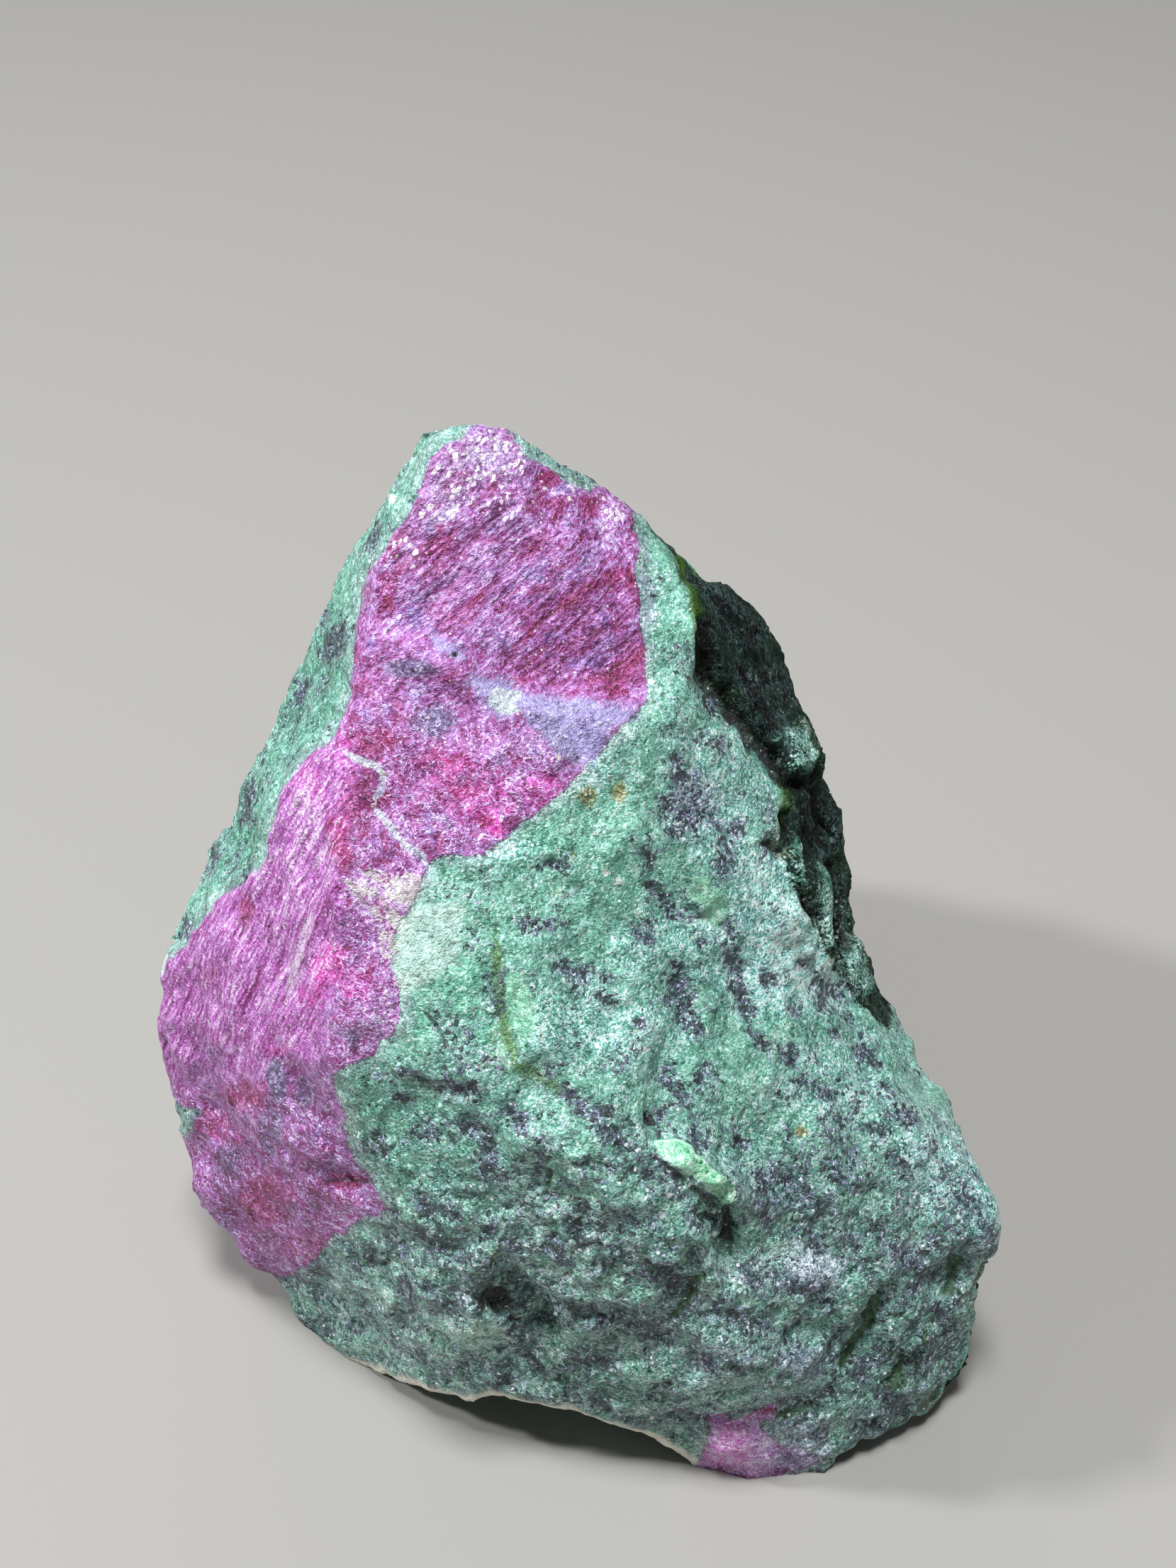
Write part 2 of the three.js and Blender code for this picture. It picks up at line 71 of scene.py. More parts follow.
STEPS = np.array(list(np.ndindex(3, 3, 3))) - 1
GRADIENTS = STEPS[np.abs(STEPS).sum(axis=1) == 2].astype(float)
SHUFFLE = np.random.RandomState(7).permutation(256)
SEED_SHIFT = 17.31  # how far apart two seeds' noises lie


def hashed(cells, seed=0):
    """A number from 0 to 255 for each whole-number cell."""
    first = SHUFFLE[(cells[..., 0] + seed) & 255]
    second = SHUFFLE[(first + cells[..., 1]) & 255]
    return SHUFFLE[(second + cells[..., 2]) & 255]


def noise(points, size, seed=0):
    """Smooth noise from about -1 to 1, with swells of that size."""
    place = points / size + seed * SEED_SHIFT
    cell = np.floor(place).astype(int)
    part = place - cell
    ease = part**3 * (part * (part * 6 - 15) + 10)
    total = np.zeros(len(points))
    for corner in np.ndindex(2, 2, 2):
        slope = GRADIENTS[hashed(cell + corner, seed) % len(GRADIENTS)]
        share = np.prod(np.where(np.array(corner) == 1, ease, 1 - ease), axis=1)
        total += share * np.einsum("ij,ij->i", slope, part - corner)
    return total


def folded(points, size, seed=0):
    """Noise with sharp crests, from 0 in its creases to 1 on its crests."""
    return 1 - 2 * np.abs(noise(points, size, seed))


def chips(points, size, seed=0):
    """Flat chips, each leaning its own way: how far a point stands above its chip's middle."""
    place = points / size
    cell = np.floor(place).astype(int)
    nearest = np.full(len(points), 9.0)
    height = np.zeros(len(points))
    for step in STEPS:
        other = cell + step
        jitter = np.stack([hashed(other, seed + k) for k in (11, 23, 37)], axis=1) / 255
        offset = place - other - jitter
        gap = np.linalg.norm(offset, axis=1)
        lean = np.stack([hashed(other, seed + k) for k in (51, 67, 83)], axis=1) / 127.5 - 1
        height = np.where(gap < nearest, np.einsum("ij,ij->i", offset, lean), height)
        nearest = np.minimum(nearest, gap)
    return height


def along(points, direction, stretch):
    """Points squeezed along a direction, so that noise on them is stretched that way."""
    unit = np.array(direction) / np.linalg.norm(direction)
    return points - np.outer(points @ unit, unit) * (1 - 1 / stretch)


def ramp(low, high, values):
    """0 up to the low value, 1 from the high one on, and smooth between them."""
    share = np.clip((values - low) / (high - low), 0, 1)
    return share * share * (3 - 2 * share)


# ---- The mesh of the stone ----

FRONT_EDGE = 0.46  # longest edges, in millimetres
BACK_EDGE = 0.75
FIRST_EDGE = 1.1
SMOOTHING = 0.5  # how far each point goes towards the middle of its neighbours
GROUND = 0.01  # points lower than this are on the ground
INSIDE = np.array([0, 4, 22])


def solid_mesh(name):
    """The points of a CAD node in millimetres, and its triangles, with shared corners joined."""
    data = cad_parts[name].data
    data.calc_loop_triangles()
    points = np.array([v.co for v in data.vertices], float) / MM
    triangles = np.array([t.vertices for t in data.loop_triangles])
    rounded, back = np.unique(np.round(points, 3), axis=0, return_inverse=True)
    return rounded, back.reshape(-1)[triangles]


def split(points, triangles, limit_at):
    """Splits every edge over its limit in the middle, until none is."""
    while True:
        edges = np.sort(np.stack([triangles, np.roll(triangles, -1, axis=1)], axis=2), axis=2)
        unique, index = np.unique(edges.reshape(-1, 2), axis=0, return_inverse=True)
        ends = points[unique]
        length = np.linalg.norm(ends[:, 0] - ends[:, 1], axis=1)
        middle = ends.mean(axis=1)
        cut = length > limit_at(middle)
        if not cut.any():
            return points, triangles
        made = np.where(cut, len(points) + np.cumsum(cut) - 1, -1)[index.reshape(-1)].reshape(-1, 3)
        points = np.concatenate([points, middle[cut]])
        count = (made >= 0).sum(axis=1)
        # Each triangle is turned until its first edge is cut and, where two are, its last is whole.
        first = np.argmax(made >= 0, axis=1)
        first = np.where((count == 2) & (made[:, 0] >= 0) & (made[:, 2] >= 0), 2, first)
        turn = (first[:, None] + np.arange(3)) % 3
        a, b, c = np.take_along_axis(triangles, turn, axis=1).T
        ab, bc, ca = np.take_along_axis(made, turn, axis=1).T
        pieces = [triangles[count == 0]]
        patterns = {
            1: [(a, ab, c), (ab, b, c)],
            2: [(ab, b, bc), (a, ab, c), (ab, bc, c)],
            3: [(a, ab, ca), (b, bc, ab), (c, ca, bc), (ab, bc, ca)],
        }
        for number, pattern in patterns.items():
            chosen = count == number
            pieces += [np.stack(corners, axis=1)[chosen] for corners in pattern]
        triangles = np.concatenate(pieces)


def smoothed(points, triangles):
    """Moves each point towards the middle of its neighbours. Points on the ground stay."""
    edges = np.concatenate([triangles[:, [0, 1]], triangles[:, [1, 2]], triangles[:, [2, 0]]])
    total = np.zeros_like(points)
    np.add.at(total, edges[:, 0], points[edges[:, 1]])
    number = np.bincount(edges[:, 0], minlength=len(points))
    moved = points + SMOOTHING * (total / number[:, None] - points)
    return np.where(points[:, 2:] < GROUND, points, moved)


def point_normals(points, triangles):
    """The outward direction at each point, with large triangles counting for more."""
    corners = points[triangles]
    faces = np.cross(corners[:, 1] - corners[:, 0], corners[:, 2] - corners[:, 0])
    normals = np.zeros_like(points)
    for k in range(3):
        np.add.at(normals, triangles[:, k], faces)
    return normals / np.linalg.norm(normals, axis=1)[:, None]


def edge_limit(points):
    """The front, which holds the fine markings, has the shorter edges; the underside the longest."""
    outward = points - INSIDE
    to_camera = CAMERA_AT - points
    facing = np.einsum("ij,ij->i", outward, to_camera)
    limit = np.where(facing > 0, FRONT_EDGE, BACK_EDGE)
    return np.where(points[:, 2] < GROUND, 2 * BACK_EDGE, limit)


points, triangles = solid_mesh("rough_ruby")
points, triangles = split(points, triangles, lambda middle: np.full(len(middle), FIRST_EDGE))
points = smoothed(points, triangles)
points, triangles = split(points, triangles, edge_limit)
points = smoothed(points, triangles)

# The edge of the raised lip is the lowest of the stone in the picture, from its left foot to its toe.
LIP_COLUMNS = range(500, 981, 30)
LIP_COLUMN_HALF = 8
LIP_STEPS = 160
# How far the lip hangs lower than the solid's at each of those columns, in millimetres.
LIP_DROPS = (0.4, 1.4, 1.6, 1.5, 1.4, 1.5, 0.6, 0.3, 0.6, 0.4, 0, 0, 0, 0, 0.2, 0, 0)
# The stone round it comes down as far up to the first distance, and not at all from the second.
DROP_NEAR, DROP_FAR = 1.0, 5.5
# Only the front foot comes down: what is in front of this y and lower than this z.
FOOT_Y, FOOT_Z = -12, 14


def lowest_in_picture(points, columns, half_width):
    """The point that is lowest in the picture near each of some columns of its pixels."""
    at = in_picture(points)
    lowest = []
    for column in columns:
        near = np.nonzero(np.abs(at[:, 0] - column) < half_width)[0]
        lowest.append(points[near[np.argmax(at[near, 1])]])
    return np.array(lowest)


lip_corners = lowest_in_picture(points, LIP_COLUMNS, LIP_COLUMN_HALF)
lip_steps = np.linspace(lip_corners[0, 0], lip_corners[-1, 0], LIP_STEPS)
lip_values = (*lip_corners.T, LIP_DROPS)
lip_line = np.stack([np.interp(lip_steps, lip_corners[:, 0], value) for value in lip_values], axis=1)
lip_gap = np.full(len(points), 99.0)
near_lip = np.nonzero((points[:, 1] < FOOT_Y) & (points[:, 2] < FOOT_Z))[0]
gaps = np.linalg.norm(points[near_lip, None] - lip_line[None, :, :3], axis=2)
lip_gap[near_lip] = gaps.min(axis=1)
drop = lip_line[gaps.argmin(axis=1), 3] * (1 - ramp(DROP_NEAR, DROP_FAR, lip_gap[near_lip]))
points[near_lip, 2] = np.maximum(points[near_lip, 2] - drop, 0)
normals = point_normals(points, triangles)

# ---- Where the minerals are ----

# Outlines in the picture plane.
RUBY_OUTLINE = [
    (665, 598), (690, 592), (712, 603), (728, 628), (752, 650), (780, 664), (804, 680), (832, 696),
    (845, 680), (868, 680), (890, 696), (894, 718), (897, 745), (901, 800), (905, 850), (907, 900),
    (910, 950), (912, 985), (905, 1000), (880, 1026), (846, 1060), (822, 1085), (800, 1108), (770, 1136),
    (740, 1160), (718, 1180), (700, 1191), (678, 1203), (655, 1206), (630, 1204), (608, 1214), (597, 1240),
    (585, 1268), (566, 1306), (552, 1332), (550, 1368), (561, 1392), (565, 1420), (560, 1450), (545, 1466),
    (520, 1490), (492, 1505), (468, 1520), (472, 1543), (484, 1566), (487, 1610), (500, 1640), (515, 1660),
    (525, 1680), (541, 1700), (541, 1712), (518, 1717), (500, 1727), (482, 1741), (462, 1752), (447, 1771),
    (438, 1787), (410, 1797), (380, 1806), (352, 1840), (290, 1820), (220, 1700), (236, 1622), (262, 1610),
    (274, 1600), (281, 1580), (284, 1561), (262, 1552), (236, 1535), (190, 1500), (200, 1400), (238, 1376),
    (250, 1350), (262, 1325), (290, 1290), (320, 1260), (350, 1240), (374, 1216), (385, 1160), (395, 1130),
    (410, 1105), (430, 1066), (455, 1050), (470, 1035), (485, 1010), (495, 980), (497, 940), (500, 900),
    (508, 850), (516, 812), (545, 776), (560, 746), (578, 716), (592, 680), (606, 645), (626, 632),
    (650, 620),
]
TOE_RUBY_OUTLINE = [
    (1000, 1996), (1030, 2003), (1060, 1994), (1090, 1980), (1103, 1983), (1092, 2000), (1076, 2010),
    (1080, 2024), (1104, 2040), (1140, 2050), (1160, 2066), (1130, 2080), (1080, 2090), (1040, 2100),
    (1000, 2100), (975, 2074), (990, 2052), (1001, 2030),
]
LILAC_OUTLINE = [
    (655, 966), (664, 955), (674, 950), (700, 957), (716, 962), (736, 976), (760, 980), (800, 984),
    (840, 986), (880, 994), (902, 1000), (880, 1024), (860, 1028), (846, 1050), (838, 1072), (820, 1084),
    (804, 1074), (780, 1052), (752, 1024), (728, 1006), (712, 1013), (694, 1005), (682, 988), (668, 976),
]
LILAC_SLIVER_OUTLINE = [
    (600, 884), (612, 893), (630, 903), (650, 915), (662, 929), (650, 931), (635, 926), (622, 915),
    (608, 900),
]
WHITE_OUTLINE = [
    (688, 985), (693, 972), (704, 968), (720, 975), (735, 969), (736, 984), (724, 994), (738, 1004),
    (716, 1009), (700, 1003), (690, 996),
]
MINT_OUTLINE = [
    (560, 1290), (585, 1284), (620, 1275), (652, 1274), (657, 1290), (645, 1330), (637, 1362), (604, 1386),
    (564, 1412), (548, 1392), (550, 1370), (563, 1350), (549, 1330), (556, 1308),
]
LENS_OUTLINE = [
    (922, 1610), (938, 1606), (963, 1608), (974, 1616), (982, 1630), (992, 1632), (1000, 1642), (1012, 1652),
    (1026, 1660), (1037, 1674), (1038, 1688), (1030, 1697), (1017, 1695), (1004, 1684), (992, 1676),
    (978, 1662), (962, 1648), (944, 1640), (928, 1628),
]
PLATE_OUTLINES = [
    [(975, 1235), (990, 1236), (1012, 1254), (1026, 1276), (1028, 1300), (1014, 1316), (998, 1306),
     (982, 1280), (972, 1256)],
    [(712, 1372), (736, 1376), (752, 1400), (758, 1432), (752, 1462), (736, 1474), (722, 1450),
     (714, 1410)],
]

# Lines in the picture plane: the pale vein, the pale stripe and the cracks, painted dark as shade in their
# creases.
VEIN_LINES = [
    [(488, 1064), (515, 1075), (531, 1081), (540, 1094), (541, 1108), (534, 1121)],
    [(533, 1143), (549, 1163), (561, 1180), (576, 1195), (590, 1204), (606, 1226)],
    [(606, 1226), (603, 1247), (592, 1268), (580, 1286), (564, 1304)],
]
STRIPE_LINES = [[(438, 1292), (428, 1330), (418, 1362), (407, 1398)]]
CRACK_LINES = [
    [(922, 1632), (945, 1648), (972, 1672), (994, 1690), (1006, 1700)],
    [(462, 1669), (488, 1666), (514, 1669)],
    [(600, 1430), (616, 1448), (628, 1470)],
]
OLIVE_LINES = [
    [(700, 1345), (703, 1395), (710, 1445), (722, 1482)],
    [(735, 1508), (765, 1522), (800, 1542)],
    [(962, 785), (977, 830), (987, 880), (990, 940)],
    [(1108, 1105), (1112, 1140), (1100, 1185)],
    [(702, 1764), (692, 1790), (688, 1815), (680, 1850)],
]

# Dark hornblende: strokes from one place to another, each with its half width.
HORNBLENDE = [
    (956, 1076, 960, 1096, 15), (976, 1092, 980, 1096, 11), (988, 1036, 990, 1040, 10),
    (1012, 1052, 1020, 1054, 12), (944, 1136, 946, 1144, 15), (982, 1120, 976, 1162, 27),
    (996, 1150, 1000, 1156, 18), (1042, 1166, 1028, 1186, 15), (1084, 1192, 1080, 1190, 8),
    (1006, 988, 1014, 998, 14), (1044, 1014, 1062, 1030, 13), (1078, 1050, 1098, 1078, 11),
    (968, 1158, 960, 1176, 16), (1028, 1206, 1020, 1236, 15), (788, 1220, 792, 1224, 12),
    (770, 1222, 780, 1222, 7), (916, 1208, 918, 1220, 9), (920, 1248, 946, 1284, 10),
    (958, 1288, 978, 1300, 8), (738, 1298, 754, 1306, 11), (772, 1306, 780, 1306, 8),
    (904, 1312, 904, 1318, 8), (920, 1308, 916, 1328, 9), (792, 1366, 826, 1374, 13),
    (854, 1380, 860, 1384, 9), (846, 1406, 864, 1410, 9), (1032, 1344, 1040, 1376, 13),
    (1041, 1388, 1058, 1428, 12), (958, 1388, 968, 1440, 16), (974, 1444, 988, 1460, 11),
    (956, 1364, 958, 1370, 7), (940, 1404, 942, 1410, 7), (1028, 1304, 1036, 1320, 11),
    (990, 1328, 994, 1334, 8), (1082, 1378, 1088, 1386, 13), (1118, 1424, 1124, 1428, 9),
    (1156, 1388, 1186, 1398, 15), (1160, 1410, 1164, 1414, 12), (1142, 1342, 1148, 1344, 8),
    (1130, 1358, 1134, 1360, 7), (1134, 1276, 1140, 1282, 9), (1150, 1294, 1154, 1298, 8),
    (1070, 1464, 1086, 1484, 9), (1112, 1486, 1120, 1494, 13), (1054, 1448, 1058, 1452, 7),
    (902, 1444, 908, 1448, 9), (944, 1508, 940, 1528, 11), (955, 1536, 965, 1556, 14),
    (927, 1575, 945, 1562, 10), (1000, 1508, 1004, 1512, 11), (986, 1522, 990, 1526, 10),
    (1138, 1520, 1178, 1548, 11), (1182, 1572, 1188, 1578, 10), (1218, 1480, 1224, 1486, 15),
    (1230, 1496, 1236, 1500, 10), (1178, 1456, 1184, 1460, 8), (1198, 1436, 1202, 1440, 7),
    (1246, 1528, 1252, 1532, 8), (1268, 1566, 1288, 1580, 15), (1228, 1592, 1246, 1600, 12),
    (798, 1544, 826, 1564, 13), (840, 1576, 874, 1610, 15), (854, 1564, 860, 1570, 9),
    (714, 1564, 738, 1592, 14), (686, 1626, 690, 1652, 15), (761, 1636, 756, 1674, 9),
    (926, 1636, 952, 1662, 10), (982, 1596, 994, 1610, 13), (1040, 1604, 1054, 1618, 11),
    (1082, 1656, 1072, 1680, 15), (1104, 1664, 1126, 1668, 11), (1094, 1688, 1100, 1694, 15),
    (1110, 1602, 1114, 1608, 10), (1146, 1688, 1158, 1704, 13), (1174, 1642, 1188, 1666, 16),
    (1206, 1672, 1212, 1676, 9), (818, 1648, 822, 1652, 8), (858, 1648, 864, 1652, 9),
    (818, 1704, 824, 1708, 10), (802, 1720, 808, 1726, 12), (890, 1720, 896, 1726, 10),
    (584, 1519, 606, 1529, 8), (622, 1534, 670, 1542, 15), (562, 1546, 570, 1554, 11),
    (594, 1598, 606, 1602, 15), (636, 1612, 640, 1614, 8), (658, 1596, 686, 1604, 13),
    (530, 1606, 536, 1628, 10), (594, 1690, 606, 1710, 13), (632, 1706, 642, 1712, 13),
    (686, 1734, 692, 1740, 14), (722, 1754, 730, 1758, 13), (774, 1758, 794, 1778, 14),
    (811, 1722, 821, 1758, 14), (596, 1746, 604, 1766, 11), (566, 1770, 570, 1776, 7),
    (520, 1768, 520, 1784, 8), (650, 1772, 656, 1780, 13), (450, 1798, 462, 1802, 10),
    (442, 1826, 448, 1832, 12), (563, 1814, 581, 1842, 13), (602, 1818, 608, 1822, 10),
    (690, 1826, 726, 1842, 18), (718, 1866, 730, 1878, 13), (744, 1902, 760, 1934, 15),
    (550, 1894, 556, 1898, 8), (594, 1914, 598, 1918, 8), (534, 1918, 540, 1922, 7),
    (626, 1936, 658, 1932, 10), (834, 1974, 858, 1990, 10), (498, 1870, 504, 1874, 10),
    (876, 1858, 934, 1882, 22), (800, 1846, 850, 1868, 18), (806, 1922, 860, 1926, 16),
    (1262, 1632, 1276, 1648, 13), (1074, 1700, 1090, 1724, 15), (1352, 1684, 1376, 1704, 13),
    (1380, 1724, 1390, 1744, 13), (1360, 1748, 1366, 1752, 9), (1136, 1744, 1160, 1764, 14),
    (1266, 1764, 1296, 1792, 16), (1288, 1816, 1312, 1798, 14), (1096, 1808, 1164, 1828, 22),
    (1064, 1804, 1070, 1810, 12), (932, 1784, 970, 1838, 22), (1018, 1852, 1076, 1872, 18),
    (1034, 1920, 1042, 1924, 9), (986, 1924, 1004, 1930, 16), (1168, 1844, 1174, 1850, 10),
    (1248, 1972, 1276, 1996, 15), (1232, 2008, 1240, 2014, 10), (1324, 1850, 1348, 1884, 16),
    (1282, 1908, 1291, 1936, 9), (1328, 1920, 1334, 1926, 8), (475, 890, 462, 925, 14),
    (425, 965, 420, 985, 12), (345, 1118, 340, 1150, 14), (455, 860, 450, 880, 8), (530, 740, 520, 770, 9),
    (300, 1205, 290, 1235, 8), (258, 1300, 250, 1320, 9), (1016, 842, 1062, 898, 16),
    (1052, 946, 1084, 1010, 12), (1086, 1020, 1108, 1060, 9), (1068, 896, 1070, 900, 9),
    (1084, 952, 1086, 960, 10), (1112, 986, 1114, 992, 9), (1004, 872, 1010, 960, 9),
    (1150, 1120, 1170, 1190, 10), (1180, 1230, 1190, 1330, 8), (1176, 1080, 1180, 1120, 8),
]

# Pale ribs and a pale block on the steep side, partly pale stone and partly painted light where they catch
# the light, and the grooves between them, painted dark as shade.
RIBS = [
    (1124, 1184, 1128, 1240, 9), (1157, 1232, 1169, 1326, 9), (1124, 1288, 1140, 1336, 15),
    (1126, 1042, 1138, 1078, 14), (1196, 1338, 1216, 1392, 12), (1098, 1040, 1104, 1060, 7),
]
GROOVES = [
    (1134, 1268, 1144, 1306, 5), (1112, 1150, 1114, 1186, 7), (1178, 1222, 1188, 1336, 10),
    (1144, 1176, 1148, 1232, 9), (1002, 958, 1102, 1082, 12), (1092, 1190, 1100, 1204, 7),
    (996, 880, 1000, 945, 10), (1150, 1080, 1166, 1180, 9), (1108, 1092, 1150, 1110, 10),
]

# Soft patches of tone in the picture plane, some of them painted shade: centre, half sizes, and strength.
DEEP_RUBY = [
    (650, 1112, 50, 30, 0.45), (590, 1130, 26, 30, 0.35), (560, 1090, 20, 30, 0.3),
    (700, 1090, 30, 16, 0.35), (478, 1180, 22, 50, 0.8), (535, 1045, 32, 24, 0.8), (640, 800, 30, 8, 0.4),
    (700, 760, 40, 8, 0.4), (760, 830, 36, 8, 0.4), (622, 742, 14, 9, 0.8), (552, 856, 9, 18, 0.8),
    (775, 675, 18, 12, 0.7), (834, 715, 18, 20, 0.8), (488, 1212, 16, 26, 0.9), (688, 1158, 14, 12, 0.9),
    (505, 1130, 38, 60, 0.5), (845, 930, 50, 50, 0.12), (800, 880, 110, 80, 0.14), (375, 1695, 50, 50, 0.6),
    (300, 1590, 30, 30, 0.5), (345, 1545, 40, 26, 0.7), (520, 1050, 30, 30, 0.6), (490, 1668, 34, 10, 0.9),
    (895, 820, 14, 30, 0.7), (430, 1760, 60, 30, 0.4), (348, 1285, 8, 26, 0.9), (610, 1075, 40, 22, 0.4),
    (560, 1000, 12, 22, 0.5), (890, 930, 20, 40, 0.2), (640, 850, 60, 40, 0.35), (300, 1375, 12, 20, 0.5),
    (450, 1690, 60, 40, 0.3), (1040, 2076, 50, 12, 0.4), (1075, 1990, 30, 8, 0.9),
]
# Painted shade on the ruby, where its faces are steep or turned away from the light.
RUBY_PAINTED_SHADE = [
    (370, 1690, 150, 150, 0.5), (280, 1540, 60, 70, 0.4), (830, 900, 110, 90, 1.4), (500, 1660, 70, 60, 0.3),
    (620, 960, 90, 60, 0.3), (250, 1440, 30, 80, 0.4), (740, 840, 70, 60, 0.4), (520, 1110, 30, 60, 0.4),
    (330, 1380, 60, 60, 0.2),
]
PALE_RUBY = [
    (1040, 2030, 56, 44, 0.35), (1050, 2040, 60, 50, 1.0), (540, 1262, 70, 36, 0.9),
    (600, 1170, 60, 30, 0.3), (680, 640, 66, 46, 0.5), (625, 700, 44, 44, 0.5), (462, 1362, 30, 36, 0.5),
    (870, 740, 26, 50, 0.5), (435, 1160, 34, 80, 0.7), (400, 1240, 46, 60, 0.5), (572, 1345, 30, 66, 0.8),
    (530, 1300, 40, 30, 0.4), (360, 1330, 50, 60, 0.35), (545, 820, 30, 60, 0.3), (480, 990, 10, 80, 0.5),
    (890, 860, 16, 60, 0.3), (520, 1440, 50, 36, 0.4), (480, 1722, 40, 18, 0.5), (430, 1785, 30, 12, 0.6),
    (560, 1400, 20, 50, 0.4), (700, 1060, 60, 24, 0.3), (340, 1440, 60, 60, 0.2), (395, 1470, 20, 14, 0.6),
]
HOT_RUBY = [
    (462, 1362, 26, 34, 1.0), (440, 1405, 24, 24, 0.6), (500, 1390, 30, 30, 0.5), (680, 1130, 70, 46, 0.45),
    (640, 1090, 60, 40, 0.4), (700, 1165, 22, 18, 0.8), (440, 1100, 30, 40, 0.4), (480, 1030, 20, 60, 0.4),
    (395, 1480, 26, 14, 0.6), (600, 950, 60, 30, 0.25), (760, 1110, 40, 30, 0.5), (1030, 2045, 40, 40, 0.6),
    (350, 1300, 60, 40, 0.2),
]
GREY_RUBY = [
    (580, 944, 44, 16, 0.9), (612, 1018, 36, 28, 0.9), (390, 1525, 16, 42, 0.9), (428, 1545, 16, 34, 0.7),
    (850, 1048, 24, 22, 0.7), (320, 1640, 26, 36, 0.6), (380, 1590, 24, 40, 0.5), (500, 1470, 14, 14, 0.6),
    (655, 1215, 30, 14, 0.3), (1130, 2062, 44, 26, 0.9), (440, 1700, 50, 30, 0.3), (290, 1500, 30, 50, 0.3),
    (720, 920, 60, 30, 0.25), (590, 835, 30, 20, 0.3), (500, 1180, 8, 50, 0.4),
]
LIGHT_GREEN = [
    (1135, 1355, 60, 60, 1.1), (640, 1900, 70, 50, 1.2), (640, 1890, 120, 70, 0.9), (500, 1840, 80, 70, 0.9),
    (850, 1900, 130, 70, 0.4), (560, 1800, 60, 50, 0.5), (950, 1980, 100, 40, 0.6), (640, 1250, 60, 40, 0.5),
    (780, 1110, 60, 40, 0.8), (890, 1030, 50, 40, 0.3), (1040, 1040, 60, 40, 0.6), (820, 1470, 110, 60, 0.4),
    (900, 1560, 50, 50, 0.6), (1080, 1230, 46, 80, 0.5), (1120, 1300, 30, 60, 0.6),
    (1090, 1540, 70, 40, 0.5), (1140, 1055, 22, 36, 0.9), (630, 612, 30, 20, 0.5), (556, 710, 14, 18, 0.8),
    (800, 1610, 60, 40, 0.4), (1250, 1700, 60, 40, 0.3), (770, 1230, 110, 70, 0.3),
    (1136, 1210, 12, 40, 0.8), (1160, 1290, 9, 60, 0.6), (1210, 1350, 30, 40, 0.4),
    (1010, 1780, 26, 26, 0.6), (1130, 1790, 46, 40, 0.4), (1040, 1960, 80, 30, 0.3),
    (1340, 1620, 40, 40, 0.3), (234, 1362, 14, 26, 0.9), (520, 1760, 60, 40, 0.3),
]
# Darker green: partly the stone's own tone, partly painted shade on the steep lower face, the hollow at the
# lower right and the shaded side.
DARK_GREEN_AND_PAINTED_SHADE = [
    (420, 950, 60, 150, 1.0), (330, 1180, 50, 90, 1.1), (650, 1720, 260, 110, 0.12),
    (950, 1850, 140, 110, 0.3), (1240, 1900, 130, 110, 0.6), (640, 1640, 150, 90, 0.55),
    (1120, 1640, 120, 60, 0.3), (480, 1860, 80, 60, 0.5), (1060, 880, 60, 90, 0.5),
    (1150, 1150, 50, 90, 0.4), (1222, 1866, 26, 36, 0.7), (1342, 1800, 20, 22, 0.8),
    (1360, 1700, 30, 60, 0.3), (720, 1840, 36, 30, 0.8), (1020, 1735, 12, 34, 1.0), (930, 1574, 12, 10, 1.0),
    (1320, 1880, 60, 80, 0.4), (560, 1690, 30, 90, 0.3), (470, 880, 20, 60, 0.4), (1010, 930, 14, 80, 0.7),
    (1075, 1040, 16, 40, 0.6), (860, 1950, 90, 50, 0.4), (700, 1540, 60, 20, 0.3),
]
VIVID_GREEN = [
    (760, 1190, 80, 40, 0.5), (560, 1690, 60, 60, 0.4), (480, 1790, 60, 50, 0.5), (700, 1930, 80, 30, 0.4),
    (560, 1850, 80, 60, 0.35), (1190, 1700, 60, 40, 0.4), (900, 1230, 80, 60, 0.3), (930, 860, 30, 120, 0.3),
    (650, 1390, 44, 70, 0.8), (690, 1460, 30, 50, 0.7), (590, 1450, 34, 26, 0.5), (690, 1805, 14, 30, 1.0),
    (660, 1790, 34, 40, 0.4), (980, 860, 9, 60, 0.7), (1108, 1150, 10, 50, 0.8), (1270, 1720, 60, 44, 0.5),
    (1040, 1440, 60, 80, 0.2), (1010, 1550, 60, 50, 0.4), (660, 1330, 26, 40, 0.5),
    (1100, 1450, 40, 24, 0.4), (640, 1905, 50, 24, 0.5), (870, 1790, 40, 30, 0.2), (520, 1740, 60, 30, 0.3),
    (1230, 1880, 20, 36, 0.4), (1370, 1800, 14, 60, 0.5), (880, 1160, 120, 60, 0.2),
]
OLIVE_GREEN = [
    (828, 1126, 16, 20, 0.9), (874, 1116, 14, 16, 0.9), (980, 860, 7, 60, 0.4), (1132, 1597, 14, 9, 1.0),
    (700, 1470, 20, 26, 0.4), (785, 1250, 24, 20, 0.3), (700, 1500, 60, 20, 0.3), (500, 1850, 30, 20, 0.3),
    (812, 1208, 8, 8, 0.8), (856, 1230, 7, 7, 0.5),
]
VIOLET_GREY = [
    (1145, 1795, 50, 44, 0.8), (1275, 1775, 34, 26, 0.7), (1130, 1925, 50, 30, 0.7),
    (1010, 1915, 60, 34, 0.5), (1125, 2040, 52, 34, 0.9), (914, 860, 12, 120, 0.6),
    (1080, 1680, 60, 40, 0.4), (980, 1130, 44, 50, 0.7), (1030, 1180, 30, 40, 0.5), (640, 1540, 60, 20, 0.3),
    (760, 1930, 30, 30, 0.3), (510, 775, 20, 30, 0.3), (905, 765, 16, 12, 0.5), (600, 1225, 16, 30, 0.6),
    (580, 1430, 12, 26, 0.4), (900, 1860, 80, 40, 0.3),
]
